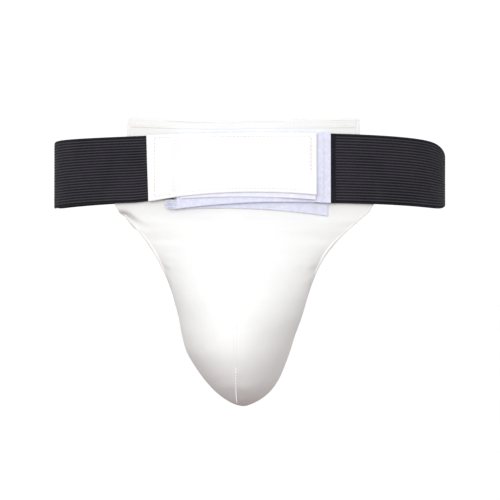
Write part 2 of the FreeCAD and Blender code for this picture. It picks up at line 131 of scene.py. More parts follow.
def read_at(places, knots, lines):
    """Each column of lines, known at the knots, read at other places."""
    return together(*(np.interp(places, knots, line) for line in lines.T))


def normals_of(grid):
    """Normals of a grid whose rows climb and whose columns run along +X."""
    return unit(np.cross(np.gradient(grid, axis=1), np.gradient(grid, axis=0)))


def rounded(distance, radius):
    """1 well inside an edge, falling to 0 on the edge as a quarter circle does."""
    inside = np.clip(1 - distance / radius, 0, 1)
    return np.sqrt(np.clip(1 - inside ** 2, 0, 1))


def smooth_step(value, start, end):
    share = np.clip((value - start) / (end - start), 0, 1)
    return share * share * (3 - 2 * share)


def hump(value, middle, width):
    return np.exp(-((value - middle) / width) ** 2)


def ruler(start, end, step, edge=0.0):
    """Even marks from start to end, with closer ones within edge of either end."""
    marks = np.linspace(start, end, max(3, int(round((end - start) / step)) + 1))
    if edge:
        close = edge * (1 - np.cos(np.linspace(0, math.pi / 2, 4)))
        inner = marks[(marks > start + 1.3 * edge) & (marks < end - 1.3 * edge)]
        marks = np.concatenate([start + close, inner, end - close[::-1]])
    return marks


def smooth_curve(knots, values, at):
    """Cubic curves through the columns of values at the knots, read at the places in at."""
    slope = np.gradient(values, knots, axis=0)
    index = np.clip(np.searchsorted(knots, at) - 1, 0, len(knots) - 2)
    span = (knots[index + 1] - knots[index])[:, None]
    t = (at - knots[index])[:, None] / span
    return ((2 * t ** 3 - 3 * t ** 2 + 1) * values[index]
            + (t ** 3 - 2 * t ** 2 + t) * span * slope[index]
            + (3 * t ** 2 - 2 * t ** 3) * values[index + 1]
            + (t ** 3 - t ** 2) * span * slope[index + 1])


def from_ends(value, start, end):
    """How far a value is from the nearer of two ends."""
    return np.minimum(value - start, end - value)


def border_of(index):
    """The grid's border as pairs of neighbouring grid places, in the order of its outline."""
    loop = np.concatenate([index[0, :-1], index[:-1, -1], index[-1, :0:-1], index[:0:-1, 0]])
    return list(zip(loop, np.roll(loop, -1)))


def hole_walls(front, behind, holes):
    """Faces that line the edges of the holes, which are given as the grid's open cells."""
    walls = []
    for row, column in np.argwhere(holes):
        ring = [(row, column), (row, column + 1), (row + 1, column + 1), (row + 1, column)]
        beside = [(row - 1, column), (row, column + 1), (row + 1, column), (row, column - 1)]
        for here, there, cell in zip(ring, ring[1:] + ring[:1], beside):
            if not holes[cell]:
                walls.append([int(p) for p in (front[here], front[there], behind[there], behind[here])])
    return walls


def sheet_between(name, front, back, uv=None, holes=None):
    """A closed sheet between two grids. Where they meet on the border they share their points."""
    rows, columns = front.shape[:2]
    places = np.arange(rows * columns).reshape(rows, columns)
    apart = np.linalg.norm(front - back, axis=-1) > 1e-7
    apart[1:-1, 1:-1] = True
    behind = places.copy()
    behind[apart] = rows * columns + np.arange(apart.sum())
    points = np.concatenate([front.reshape(-1, 3), back[apart]])
    faces = []
    for side, order in ((places, (0, 1, 2, 3)), (behind, (3, 2, 1, 0))):
        corners = np.stack([side[:-1, :-1], side[:-1, 1:], side[1:, 1:], side[1:, :-1]], axis=-1)
        if holes is not None:
            corners = corners[~holes]
        faces += corners.reshape(-1, 4)[:, order].tolist()
    if holes is not None:
        faces += hole_walls(places, behind, holes)
    flat_behind = behind.ravel()
    for here, there in border_of(places):
        ring = [there, here, flat_behind[here], flat_behind[there]]
        ring = [int(p) for k, p in enumerate(ring) if p not in ring[:k]]
        if len(ring) > 2:
            faces.append(ring)
    if uv is not None:
        uv = np.concatenate([uv.reshape(-1, 2), uv[apart]])
    return mesh_object(name, points, faces, uv)


def sheet_of(name, middle, half, uv, front_relief=0.0, back_relief=0.0):
    """A closed sheet round a middle grid. half is the half thickness, zero on a rounded border."""
    normal = normals_of(middle)
    solid = (half > 1e-7) * 1.0
    front = middle + normal * (half + solid * front_relief)[..., None]
    back = middle - normal * (half + solid * back_relief)[..., None]
    return sheet_between(name, front, back, uv)


def tube_faces(places):
    """Faces of a tube whose rows of places run round it."""
    wrapped = np.concatenate([places, places[:, :1]], axis=1)
    corners = np.stack([wrapped[:-1, :-1], wrapped[1:, :-1], wrapped[1:, 1:], wrapped[:-1, 1:]], axis=-1)
    return corners.reshape(-1, 4)


def swept(name, path, side, up, outline, closed=False, size=None):
    """A solid drawn along a path. outline holds (across, out) pairs; size scales it at each point."""
    count = len(path)
    size = np.ones(count) if size is None else size
    ring = (path[:, None] + size[:, None, None] * (side[:, None] * outline[None, :, :1]
                                                   + up[:, None] * outline[None, :, 1:]))
    places = np.arange(count * len(outline)).reshape(count, -1)
    if closed:
        places = np.concatenate([places, places[:1]])
    faces = tube_faces(places).tolist()
    if not closed:
        faces += [places[0].tolist(), places[-1][::-1].tolist()]
    steps = walked(path)
    around = np.cumsum(np.linalg.norm(np.diff(outline, axis=0, prepend=outline[-1:]), axis=1))
    return mesh_object(name, ring, faces, together(steps[:, None], around[None]))


def oval(wide, deep, count=16, power=1.0):
    """Points round an oval. A power under 1 squares its corners."""
    angle = np.linspace(0, 2 * math.pi, count, endpoint=False)
    cosine, sine = np.cos(angle), np.sin(angle)
    return np.stack([wide * np.sign(cosine) * abs(cosine) ** power,
                     deep * np.sign(sine) * abs(sine) ** power], axis=-1)


FINE_STITCH = 1.9 * MM


def stitch_row(path, normal, pitch=3.2 * MM, length=2.3 * MM, thick=0.42 * MM):
    """Points and faces of the stitches along a path, each a thread that dives in at both ends."""
    steps = walked(path)
    count = max(1, int(steps[-1] / pitch))
    starts = (np.arange(count) + 0.5) * steps[-1] / count
    along = np.array([-0.5, -0.42, -0.2, 0.2, 0.42, 0.5])
    radius = np.array([0.25, 0.75, 1.0, 1.0, 0.75, 0.25]) * thick
    sink = np.array([-1.3, -0.35, 0.1, 0.1, -0.35, -1.3]) * thick
    angle = np.linspace(0, 2 * math.pi, 6, endpoint=False)
    points, faces = [], []
    for start in starts:
        at = start + along * length
        line = read_at(at, steps, path)
        out = unit(read_at(at, steps, normal))
        side = unit(np.cross(out, np.gradient(line, axis=0)))
        line = line + out * sink[:, None]
        turned = side[:, None] * np.cos(angle)[:, None] + out[:, None] * np.sin(angle)[:, None]
        ring = line[:, None] + radius[:, None, None] * turned
        first = len(points) * len(along) * len(angle)
        places = first + np.arange(len(along) * len(angle)).reshape(len(along), -1)
        faces += tube_faces(places)[:, ::-1].tolist()
        faces += [places[0].tolist(), places[-1][::-1].tolist()]
        points.append(ring.reshape(-1, 3))
    return np.concatenate(points), faces


def stitches(name, rows, paint, *nodes, body="root", **sizes):
    """One finished piece of the stitches along several rows, each a (path, normal) pair."""
    points, faces = [], []
    for path, normal in rows:
        row_points, row_faces = stitch_row(np.asarray(path), np.asarray(normal), **sizes)
        shift = sum(len(p) for p in points)
        faces += [[corner + shift for corner in face] for face in row_faces]
        points.append(row_points)
    return finish_piece(mesh_object(name, np.concatenate(points), faces), paint, *nodes, body=body)


# --- the belt's curve ------------------------------------------------------------------------

def on_belt(across, height, depth):
    """A point of the belt's front half: across is X and depth the short half axis there."""
    wide = depth + STRETCH
    return together(across, -depth * np.sqrt(1 - (across / wide) ** 2), height)


def belt_normal(points):
    """Which way the belt faces at points on it."""
    flat = points * np.array([1 / (BELT + STRETCH) ** 2, 1 / BELT ** 2, 0])
    return unit(flat)


def layer(name, left, right, bottom, top, depth, thick, step=1.5 * MM, relief=None, back_relief=None,
          lean=0.0):
    """A flat piece on the belt's front. bottom, top and depth are numbers or functions of X; depth
    may also take the height's share from 0, low, to 1, high. lean tips its left edge over."""
    across = ruler(left, right, step, thick)
    low_edge = bottom(across) if callable(bottom) else np.full(len(across), bottom)
    high_edge = top(across) if callable(top) else np.full(len(across), top)
    tall = float(np.mean(high_edge - low_edge))
    share = ruler(0, 1, step / tall, thick / tall)
    height = low_edge[None] + (high_edge - low_edge)[None] * share[:, None]
    across = np.broadcast_to(across[None], height.shape)
    place = depth(across, share[:, None]) if callable(depth) else depth
    leaning = across - lean * height / high_edge[0] * (1 - smooth_step(across, left, left + 20 * MM))
    middle = on_belt(leaning, height, place)
    to_side = from_ends(across, left, right)
    to_edge = from_ends(share, 0, 1)[:, None] * tall
    half = thick / 2 * rounded(np.minimum(to_side, to_edge), thick / 2)
    front = relief(across, height, to_edge) if relief else 0.0
    behind = back_relief(across, height) if back_relief else 0.0
    uv = np.stack([across - left, height], axis=-1)
    return sheet_of(name, middle, half, uv, front, behind)


def belt_line(corners, depth, step=1 * MM):
    """A path on the belt's front through (across, height) corners, in mm, with its normals."""
    corners = np.array(corners) * MM
    steps = walked(corners)
    across, height = read_at(ruler(0, steps[-1], step), steps, corners).T
    path = on_belt(across, height, depth)
    return path, belt_normal(path)


def arc_through(left, middle, right):
    """A function of X whose curve passes through three (across, height) points."""
    coefficients = np.polyfit(*np.array([left, middle, right]).T, 2)
    return lambda across: np.polyval(coefficients, across)


# --- materials -------------------------------------------------------------------------------

def set_stops(bar, stops):
    """Sets a colour ramp to (place, colour) stops."""
    while len(bar.elements) < len(stops):
        bar.elements.new(0.5)
    for element, (place, colour) in zip(bar.elements, stops):
        element.position = place
        element.color = (*colour, 1)


class Paint:
    """A node material round one Principled shader, with short ways to add nodes."""

    def __init__(self, name, roughness, **values):
        self.material = bpy.data.materials.new(name)
        self.material.use_nodes = True
        self.tree = self.material.node_tree
        self.shader = self.tree.nodes["Principled BSDF"]
        self.shader.inputs["Roughness"].default_value = roughness
        for socket, value in values.items():
            self.shader.inputs[socket.replace("_", " ")].default_value = value

    def node(self, kind, **inputs):
        made = self.tree.nodes.new("ShaderNode" + kind)
        for socket, value in inputs.items():
            self.feed(made.inputs[socket], value)
        return made

    def feed(self, socket, value):
        if isinstance(value, bpy.types.NodeSocket):
            self.tree.links.new(value, socket)
        else:
            socket.default_value = value

    def math(self, operation, *values):
        made = self.tree.nodes.new("ShaderNodeMath")
        made.operation = operation
        for socket, value in zip(made.inputs, values):
            self.feed(socket, value)
        return made.outputs[0]

    def along_across(self):
        """Millimetres along and across the cloth."""
        uv = self.tree.nodes.new("ShaderNodeUVMap")
        uv.uv_map = CLOTH_UV
        split = self.node("SeparateXYZ", Vector=uv.outputs[0])
        return self.math("DIVIDE", split.outputs[0], MM), self.math("DIVIDE", split.outputs[1], MM)

    def place(self):
        """The point's place on the object, in metres."""
        return self.tree.nodes.new("ShaderNodeTexCoord").outputs["Object"]

    def noise(self, size, detail=3.0, vector=None, roughness=0.55):
        made = self.node("TexNoise", Scale=1 / size, Detail=detail, Roughness=roughness)
        self.tree.links.new(vector or self.place(), made.inputs["Vector"])
        return made.outputs[0]

    def cells(self, size):
        made = self.node("TexVoronoi", Scale=1 / size)
        made.feature = "DISTANCE_TO_EDGE"
        self.tree.links.new(self.place(), made.inputs["Vector"])
        return made.outputs[0]

    def wave(self, value, pitch, shift=0.0):
        """A sine from 0 to 1 with this pitch, in the same unit as value."""
        turned = self.math("ADD", self.math("MULTIPLY", value, 2 * math.pi / pitch), shift)
        return self.math("MULTIPLY_ADD", self.math("SINE", turned), 0.5, 0.5)

    def ramp(self, factor, *stops):
        made = self.node("ValToRGB", Fac=factor)
        set_stops(made.color_ramp, stops)
        return made.outputs[0]

    def spread(self, factor, lowest, highest):
        made = self.node("MapRange", Value=factor)
        made.inputs["To Min"].default_value = lowest
        made.inputs["To Max"].default_value = highest
        return made.outputs[0]

    def colour(self, value):
        self.feed(self.shader.inputs["Base Color"], value)

    def roughness(self, value):
        self.feed(self.shader.inputs["Roughness"], value)

    def bump(self, *layers):
        """Each layer is (height, depth in millimetres)."""
        normal = None
        for height, depth in layers:
            made = self.node("Bump", Height=height, Distance=depth * MM)
            made.inputs["Strength"].default_value = 1.0
            if normal:
                self.tree.links.new(normal, made.inputs["Normal"])
            normal = made.outputs[0]
        self.tree.links.new(normal, self.shader.inputs["Normal"])


def coated_fabric(name, dark, light):
    """White coated fabric: a smooth face with a faint leather grain."""
    paint = Paint(name, 0.5)
    shade = paint.noise(34 * MM, 4)
    paint.colour(paint.ramp(shade, (0.3, dark), (0.7, light)))
    paint.roughness(paint.spread(paint.noise(9 * MM), 0.42, 0.6))
    grain = paint.cells(1.1 * MM)
    paint.bump((grain, 0.05), (paint.noise(0.5 * MM), 0.03), (paint.noise(16 * MM, 2), 0.5))
    return paint.material


def binding_tape():
    """White binding: a finer, slightly duller coated tape."""
    paint = Paint("binding_tape", 0.55)
    paint.colour(paint.ramp(paint.noise(12 * MM), (0.3, (0.72, 0.725, 0.725)),
                            (0.7, (0.765, 0.77, 0.77))))
    paint.roughness(paint.spread(paint.noise(3 * MM), 0.5, 0.65))
    paint.bump((paint.cells(0.9 * MM), 0.05), (paint.noise(5 * MM), 0.15))
    return paint.material


def elastic(name, rib, first_rib, width, dark, light):
    """Black knitted elastic whose crests, plaited from short slanting yarns, carry a painted highlight.
    """
    paint = Paint(name, 0.75, Specular_IOR_Level=0.12)
    along, across = paint.along_across()
    crest = paint.wave(paint.math("SUBTRACT", across, first_rib), rib, math.pi / 2)
    thin_crest = paint.math("POWER", crest, 2.0)
    slant = paint.math("MULTIPLY", across, 2.4)
    yarn = paint.wave(paint.math("ADD", along, slant), 1.15)
    cross_yarn = paint.wave(paint.math("SUBTRACT", along, slant), 1.15)
    # knit is paler on the crests: a painted highlight in the colour, the crests' relief in the bump.
    knit = paint.math("MULTIPLY", paint.math("MAXIMUM", yarn, cross_yarn), thin_crest)
    fuzz = paint.noise(0.35 * MM, 2)
    patch = paint.noise(26 * MM, 3)
    fuzzy_knit_and_highlight = paint.math("MULTIPLY_ADD", fuzz, 0.2, paint.math("MULTIPLY", knit, 0.75))
    tone = paint.math("MULTIPLY_ADD", patch, 0.2, fuzzy_knit_and_highlight)
    to_edge = paint.math("MINIMUM", across, paint.math("SUBTRACT", width, across))
    inner = paint.math("MULTIPLY_ADD", paint.math("SMOOTH_MIN", to_edge, 3.2, 0.8), 0.2, 0.36)
    paint.colour(paint.ramp(paint.math("MULTIPLY", tone, inner), (0.15, dark), (0.9, light)))
    paint.roughness(paint.spread(fuzz, 0.65, 0.9))
    paint.bump((knit, 0.16), (fuzz, 0.06))
    return paint.material


def loop_tape():
    """Pale lavender loop pile: a mat of tiny loops."""
    paint = Paint("loop_tape", 0.9, Sheen_Weight=0.35, Sheen_Roughness=0.5)
    fuzz = paint.noise(0.55 * MM, 3, roughness=0.7)
    clump = paint.noise(3.5 * MM, 3)
    tone = paint.math("MULTIPLY_ADD", clump, 0.5, paint.math("MULTIPLY", fuzz, 0.5))
    paint.colour(paint.ramp(tone, (0.3, (0.57, 0.59, 0.705)), (0.55, (0.685, 0.71, 0.845)),
                            (0.75, (0.785, 0.81, 0.93))))
    paint.bump((fuzz, 0.35), (clump, 0.3))
    return paint.material


def hook_tape():
    """Pale hook tape: a woven ground with rows of stiff hooks."""
    paint = Paint("hook_tape", 0.55, Specular_IOR_Level=0.4)
    along, across = paint.along_across()
    weave = paint.math("MULTIPLY", paint.wave(along, 0.8), paint.wave(across, 0.8))
    paint.colour(paint.ramp(paint.noise(6 * MM), (0.3, (0.70, 0.72, 0.845)), (0.7, (0.78, 0.80, 0.91))))
    paint.roughness(paint.spread(weave, 0.5, 0.7))
    paint.bump((weave, 0.12), (paint.noise(0.4 * MM), 0.05))
    return paint.material


def thread(name, dark, light):
    """White sewing thread, twisted."""
    paint = Paint(name, 0.6, Sheen_Weight=0.2)
    twist = paint.noise(0.35 * MM, 2)
    paint.colour(paint.ramp(twist, (0.3, dark), (0.7, light)))
    paint.bump((twist, 0.08))
    return paint.material


def lining_cloth():
    """White brushed tricot lining: fine wales with a soft nap."""
    paint = Paint("lining_cloth", 0.85, Sheen_Weight=0.3, Sheen_Roughness=0.5)
    along, across = paint.along_across()
    wale = paint.wave(along, 1.0)
    course = paint.wave(across, 1.3)
    knit = paint.math("MULTIPLY", wale, course)
    paint.colour(paint.ramp(paint.math("MULTIPLY_ADD", knit, 0.4, paint.noise(14 * MM)),
                            (0.35, (0.76, 0.77, 0.79)), (0.8, (0.88, 0.88, 0.89))))
    paint.bump((knit, 0.18), (paint.noise(0.5 * MM), 0.08), (paint.noise(20 * MM), 0.6))
    return paint.material


def plain(name, dark, light, roughness, grain, depth, **values):
    """A moulded or foamed material with a fine grain."""
    paint = Paint(name, roughness, **values)
    tone = paint.noise(grain * 12, 4)
    paint.colour(paint.ramp(tone, (0.3, dark), (0.7, light)))
    paint.roughness(paint.spread(paint.noise(grain * 4), roughness - 0.06, roughness + 0.06))
    paint.bump((paint.noise(grain, 3), depth))
    return paint.material


RIB_PITCH = 2.5 * MM
SELVEDGE = 3.2 * MM
RIB_HEIGHT = 0.3 * MM

PAINTS = {
    # The light colours of the elastics are a painted highlight on their rib crests.
    "elastic": elastic("elastic", RIB_PITCH / MM, SELVEDGE / MM, 2 * BELT_HALF / MM,
                       (0.003, 0.003, 0.005), (0.070, 0.067, 0.082)),
    "leg_elastic": elastic("leg_elastic", 2.0, 1.0, 20.0, (0.006, 0.006, 0.008), (0.05, 0.05, 0.056)),
    "plain_elastic": plain("plain_elastic", (0.005, 0.006, 0.009), (0.012, 0.013, 0.018), 0.8, 0.5 * MM,
                           0.08, Specular_IOR_Level=0.12),
    "coated_fabric": coated_fabric("coated_fabric", (0.715, 0.727, 0.724), (0.745, 0.755, 0.752)),
    # The tab is the cover's white coated fabric painted lighter: painted light for its brighter look.
    "tab_fabric_painted_lighter": coated_fabric("tab_fabric_painted_lighter", (0.785, 0.785, 0.785), (0.81, 0.81, 0.81)),
    "binding_tape": binding_tape(),
    "hook_tape": hook_tape(),
    "loop_tape": loop_tape(),
    "thread": thread("thread", (0.84, 0.84, 0.85), (0.92, 0.92, 0.92)),
    "dull_thread": thread("dull_thread", (0.52, 0.52, 0.53), (0.68, 0.68, 0.68)),
    "pale_thread": thread("pale_thread", (0.64, 0.66, 0.79), (0.74, 0.76, 0.90)),
    "foam": plain("foam", (0.74, 0.73, 0.68), (0.82, 0.81, 0.77), 0.9, 0.9 * MM, 0.25),
    "cup_plastic": plain("cup_plastic", (0.80, 0.81, 0.82), (0.86, 0.87, 0.88), 0.35, 0.6 * MM, 0.03,
                         Subsurface_Weight=0.1, Subsurface_Scale=0.003),
    "gasket_rubber": plain("gasket_rubber", (0.30, 0.31, 0.33), (0.37, 0.38, 0.40), 0.6, 0.5 * MM, 0.06),
    "lining_cloth": lining_cloth(),
    "label_tape": plain("label_tape", (0.84, 0.84, 0.85), (0.9, 0.9, 0.9), 0.45, 0.4 * MM, 0.05),
}


def finish_piece(piece, paint, *nodes, body="root"):
    """Gives a piece its material, its body and the CAD nodes that it stands for. A piece
    given no body here is left without one."""
    piece.data.materials.clear()
    piece.data.materials.append(PAINTS[paint])
    if body:
        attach(piece, body)
    if nodes:
        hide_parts(*nodes)
    return piece


# --- waist elastic ---------------------------------------------------------------------------

LEFT_BULGE = 1.011                      # the belt is this much fuller at its left hip
RIGHT_BULGE = 1.003                     # and this much at its right
JOIN_ANGLE = math.radians(-163)         # where the belt's two lengths are sewn end to end, at the back


def belt_heights(angle, y):
    """The belt's lower and upper edge. Its right half hangs lower, and the fold at that hip pulls
    the upper edge down, more gently towards the back."""
    right = np.sin(angle) > 0
    behind = BACK_RISE * np.clip(y / (100 * MM), 0, 1) ** 1.1
    to_hip = smooth_step(y, -95 * MM, -20 * MM)
    front_low = np.where(right, -30.0 - 2.6 * to_hip, -28.5 - 1.7 * to_hip) * MM
    front_top = np.where(right, 31.5 - 2.0 * to_hip, 30.9 + 2.4 * to_hip) * MM
    to_back = smooth_step(y, -10 * MM, 60 * MM)
    low_edge = front_low * (1 - to_back) - BELT_HALF * to_back + behind
    top_edge = front_top * (1 - to_back) + BELT_HALF * to_back + behind
    reach = np.where(y < 0, 26 * MM, 75 * MM)
    top_fold = np.where(right, 9.5 * MM * hump(y, 0, reach), 1.6 * MM * hump(y, 0, 9 * MM))
    low_fold = np.where(right, 4.0 * MM * hump(y, 0, 20 * MM), 1.6 * MM * hump(y, 0, 10 * MM))
    sewn_end = 2.6 * MM * smooth_step(y, -84 * MM, -94 * MM) * ~right
    return low_edge + low_fold + sewn_end, top_edge - top_fold


def rib_relief(across, height):
    """Narrow round crests with flat cloth between them, and a flat selvedge along both edges."""
    width = 2 * BELT_HALF
    phase = (across - SELVEDGE) / RIB_PITCH
    crests = np.cos(math.pi * phase) ** 4
    inside = (across > SELVEDGE - MM) & (across < width - SELVEDGE + MM)
    return height * np.where(inside, crests, 0.1)


def belt_length(name, start, end, flat_start=False, flat_end=False, plain_until=None):
    """A length of the belt between two angles; a flat end has no rounding and meets its neighbour."""
    depth = BELT - BELT_THICK / 2
    wide = depth + STRETCH
    fine = np.linspace(start, end, 4000)
    walk = np.stack([wide * np.sin(fine), -depth * np.cos(fine)], axis=-1)
    steps = walked(walk)
    at = ruler(0, steps[-1], 3 * MM, BELT_THICK)
    angle = np.interp(at, steps, fine)
    width = 2 * BELT_HALF
    per_rib = 6
    ribs = int(round((width - 2 * SELVEDGE) / RIB_PITCH))
    share = np.unique(np.concatenate([
        np.linspace(SELVEDGE, width - SELVEDGE, ribs * per_rib + 1),
        ruler(0, width, width / 2, BELT_THICK), [SELVEDGE / 2 + BELT_THICK / 2],
        [width - SELVEDGE / 2 - BELT_THICK / 2]])) / width
    y = -depth * np.cos(angle)
    bottom, top = belt_heights(angle, y)
    height = bottom[None] + (top - bottom)[None] * share[:, None]
    x = wide * np.sin(angle)
    x = np.where(x < 0, x * LEFT_BULGE, x * RIGHT_BULGE)
    middle = together(x, y, height)
    far = 1.0
    to_side = np.minimum(far if flat_start else at, far if flat_end else steps[-1] - at)[None]
    to_edge = from_ends(share, 0, 1)[:, None] * width
    half = BELT_THICK / 2 * rounded(np.minimum(to_side, to_edge), BELT_THICK / 2)
    relief = rib_relief(share * width, RIB_HEIGHT)[:, None] * np.ones(len(at))[None]
    if plain_until is not None:
        front = np.cos(angle) > 0
        relief = relief * np.where(front & (x < plain_until), 0.25, 1.0)[None]
    relief = relief - RIB_HEIGHT
    return sheet_of(name, middle, half, together(at, (share * width)[:, None]), relief, relief), steps[-1]


def waist_elastic():
    wide = BELT + STRETCH
    right_start = math.asin(64 * MM / wide)
    left_end = math.asin(-60 * MM / wide)
    turn = 2 * math.pi
    right, right_length = belt_length("waist_elastic_right", right_start, JOIN_ANGLE + turn,
                                      flat_end=True, plain_until=LOOP_RIGHT + 4 * MM)
    finish_piece(right, "elastic", "waistband_elastic")
    left, left_length = belt_length("waist_elastic_left", JOIN_ANGLE, left_end, flat_start=True)
    finish_piece(left, "elastic", "left_strap_elastic", body=None)
    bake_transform(left)


# --- closure tab -----------------------------------------------------------------------------

TAB_LOW = arc_through((TAB_LEFT, -28.2 * MM), (-5 * MM, -21.1 * MM), (TAB_RIGHT, -23.4 * MM))
TAB_THICK = 1.4 * MM
ROOT_DEPTH = BELT + 1.1 * MM            # middle of the tab where it is sewn down
FLAP_DEPTH = BELT + 3.5 * MM            # and where it lies on its hook tape
# Sewn rows, in millimetres: the box at the tab's root and the frame round its flap.
BOX_LEFT, BOX_RIGHT, BOX_TOP, BOX_LOW = -77.7, -60.6, 28.6, -23.6
FRAME_LEFT, FRAME_RIGHT, FRAME_TOP = -50, 61.3, 28.0
FRAME_INSET = 3.4 * MM                  # the frame's low row stands this far above the edge


def tab_curl(across, share):
    """The flap's lower right corner stands off the belt."""
    return 1.9 * MM * smooth_step(across, 26 * MM, TAB_RIGHT) * smooth_step(1 - share, 0.5, 1.0)


def tab_depth(across, share):
    """The tab lies on the elastic at its root and on its hook tape beyond the fold."""
    raised = smooth_step(across, -64 * MM, -50 * MM)
    return ROOT_DEPTH + (FLAP_DEPTH - ROOT_DEPTH) * raised + tab_curl(across, share)


def groove(distance, width=0.9 * MM, depth=0.28 * MM):
    return -depth * np.exp(-(distance / width) ** 2)


def tab_relief(across, height, to_edge):
    """Sewn rows sink into the face, which lies in slight waves between them."""
    beyond_fold = smooth_step(across, -62 * MM, -58 * MM)
    frame_row = groove(to_edge - FRAME_INSET, 0.7 * MM, 0.12 * MM) * beyond_fold
    end_row = groove(across - FRAME_RIGHT * MM, 0.7 * MM, 0.16 * MM)
    root_rows = (groove(across - BOX_LEFT * MM, 0.7 * MM, 0.2 * MM)
                 + groove(across + 59.4 * MM, 0.7 * MM, 0.2 * MM))
    waves = 0.18 * MM * np.sin(across / (15 * MM) + height / (21 * MM)) * np.cos(height / (9 * MM))
    return frame_row + end_row + root_rows + waves


def closure_tab():
    tab = layer("closure_tab", TAB_LEFT, TAB_RIGHT, TAB_LOW, TAB_TOP, tab_depth, TAB_THICK,
                step=1.0 * MM, relief=tab_relief, lean=1.1 * MM)
    # The tab's fabric is painted lighter than the cover's, as painted light.
    finish_piece(tab, "tab_fabric_painted_lighter", "closure_tab_root", "closure_tab_cover", body=None)
    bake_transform(tab)

    left, right, top = -54 * MM, 65.4 * MM, 27.5 * MM
    bottom = arc_through((left, -26.2 * MM), (-5 * MM, -24.9 * MM), (right, -27.5 * MM))

    def hooks(across, height):
        """Rows of stiff hooks, three points of the grid apart."""
        turn = 2 * math.pi / (2.25 * MM)
        return 0.55 * MM * np.clip(np.cos(turn * across) * np.cos(turn * height), 0, 1)

    def behind_flap(across, share):
        return BELT + 2.15 * MM + 0.9 * tab_curl(across, share)

    hook = layer("tab_hook_tape", left, right, bottom, top, behind_flap, 0.9 * MM, step=0.75 * MM,
                 back_relief=hooks)
    finish_piece(hook, "hook_tape", "closure_tab_hook", body="tab")

    face = ROOT_DEPTH + TAB_THICK / 2
    box_rows = [belt_line([(BOX_LEFT, BOX_TOP), (BOX_LEFT, BOX_LOW)], face),
                belt_line([(BOX_RIGHT, 27.4), (BOX_RIGHT, -20.2)], face + 0.2 * MM),
                belt_line([(BOX_LEFT, BOX_TOP), (-62, BOX_TOP)], face),
                belt_line([(BOX_LEFT, BOX_LOW), (-62, -21.6)], face)]
    stitches("root_box_stitches", box_rows, "dull_thread", "root_box_stitch", body="left_strap",
             length=FINE_STITCH, thick=0.33 * MM)

    face = FLAP_DEPTH + TAB_THICK / 2
    x = ruler(FRAME_LEFT * MM, FRAME_RIGHT * MM, 1 * MM)
    curl = tab_depth(x, 0 * x) - tab_depth(0.0, 0.0)
    out = belt_normal(on_belt(x, 0.0, BELT))
    low_row = on_belt(x, TAB_LOW(x) + FRAME_INSET, face) + out * curl[:, None] * 0.8
    frame_rows = [belt_line([(FRAME_LEFT, FRAME_TOP), (FRAME_RIGHT, FRAME_TOP)], face),
                  belt_line([(FRAME_RIGHT, FRAME_TOP), (FRAME_RIGHT, -19.0)], face + 0.35 * MM),
                  (low_row, belt_normal(low_row))]
    stitches("tab_stitches", frame_rows, "dull_thread", "tab_stitch", body="tab",
             length=FINE_STITCH, thick=0.25 * MM)


# --- right strap and loop patch --------------------------------------------------------------

def right_strap():
    bottom = arc_through((-57 * MM, -35.0 * MM), (0.0, -30.3 * MM), (LOOP_RIGHT, -30.2 * MM))
    panel = layer("right_loop_panel", LOOP_LEFT + 10.5 * MM, LOOP_RIGHT, bottom, LOOP_TOP,
                  BELT + 0.7 * MM, 1.2 * MM, step=1.5 * MM)
    finish_piece(panel, "loop_tape", "right_strap_loop")
    rng = np.random.default_rng(7)
    yarns = []
    for _ in range(90):
        start_z = rng.uniform(-35.0, -27.5)
        reach = 1.5 + 11.0 * rng.uniform() ** 1.6
        drop = rng.uniform(-0.6, 1.2) - reach * 0.10
        bend = rng.uniform(-0.7, 0.7)
        corners = [(-56.6, start_z), (-57 - reach / 2, start_z + bend), (-57 - reach, start_z - drop)]
        yarns.append(belt_line(corners, BELT + rng.uniform(0.4, 1.0) * MM))
    stitches("loop_panel_fray", yarns, "loop_tape", "right_strap_loop", pitch=1.9 * MM, length=2.6 * MM,
             thick=0.17 * MM)
    hook = layer("right_hook_tape", -55.5 * MM, 63.4 * MM, -27 * MM, 27 * MM, BELT - 0.9 * MM, 1.2 * MM,
                 step=3 * MM)
    finish_piece(hook, "hook_tape", "right_strap_hook")
    drop, swing = 2.4, 0.8                  # of each leg of the zigzag row, in millimetres
    turns = [(72.5 + swing * (-1) ** k, 28.5 - drop * k) for k in range(24)]
    leg = math.hypot(drop, 2 * swing) * MM
    stitches("right_strap_stitches", [belt_line(turns, BELT + 1.35 * MM, 0.4 * MM)], "dull_thread",
             "right_strap_stitch", pitch=leg, length=leg, thick=0.33 * MM)


def elastic_end():
    """The right elastic's folded end, a plain band beside the loop panel."""
    piece = layer("elastic_end_fold", LOOP_RIGHT, LOOP_RIGHT + 4 * MM, -30.2 * MM, 31.4 * MM,
                  BELT + 0.25 * MM, 0.9 * MM, step=2 * MM)
    finish_piece(piece, "plain_elastic")


def loop_patch():
    left, right = -58 * MM, 76 * MM
    bottom = arc_through((left, -35.6 * MM), (0.0, -34.9 * MM), (right, -41.6 * MM))
    patch = layer("apron_loop_tape", left, right, bottom, PATCH_TOP, APRON_FACE + 0.8 * MM, 1.2 * MM,
                  step=2 * MM)
    finish_piece(patch, "loop_tape", "apron_loop_patch")
    x = ruler(left + 3 * MM, right - 3 * MM, 1 * MM)
    line = on_belt(x, bottom(x) + 2.6 * MM, APRON_FACE + 1.45 * MM)
    stitches("patch_stitches", [(line, belt_normal(line))], "pale_thread", "patch_stitch",
             length=FINE_STITCH, thick=0.28 * MM)


# --- apron and pouch -------------------------------------------------------------------------

WING_DROP = -29.5 * MM
WING_CORNER = -37.0 * MM
LEFT_WING_CURL = 8 * MM                 # the left wing's lower corner turns back this far
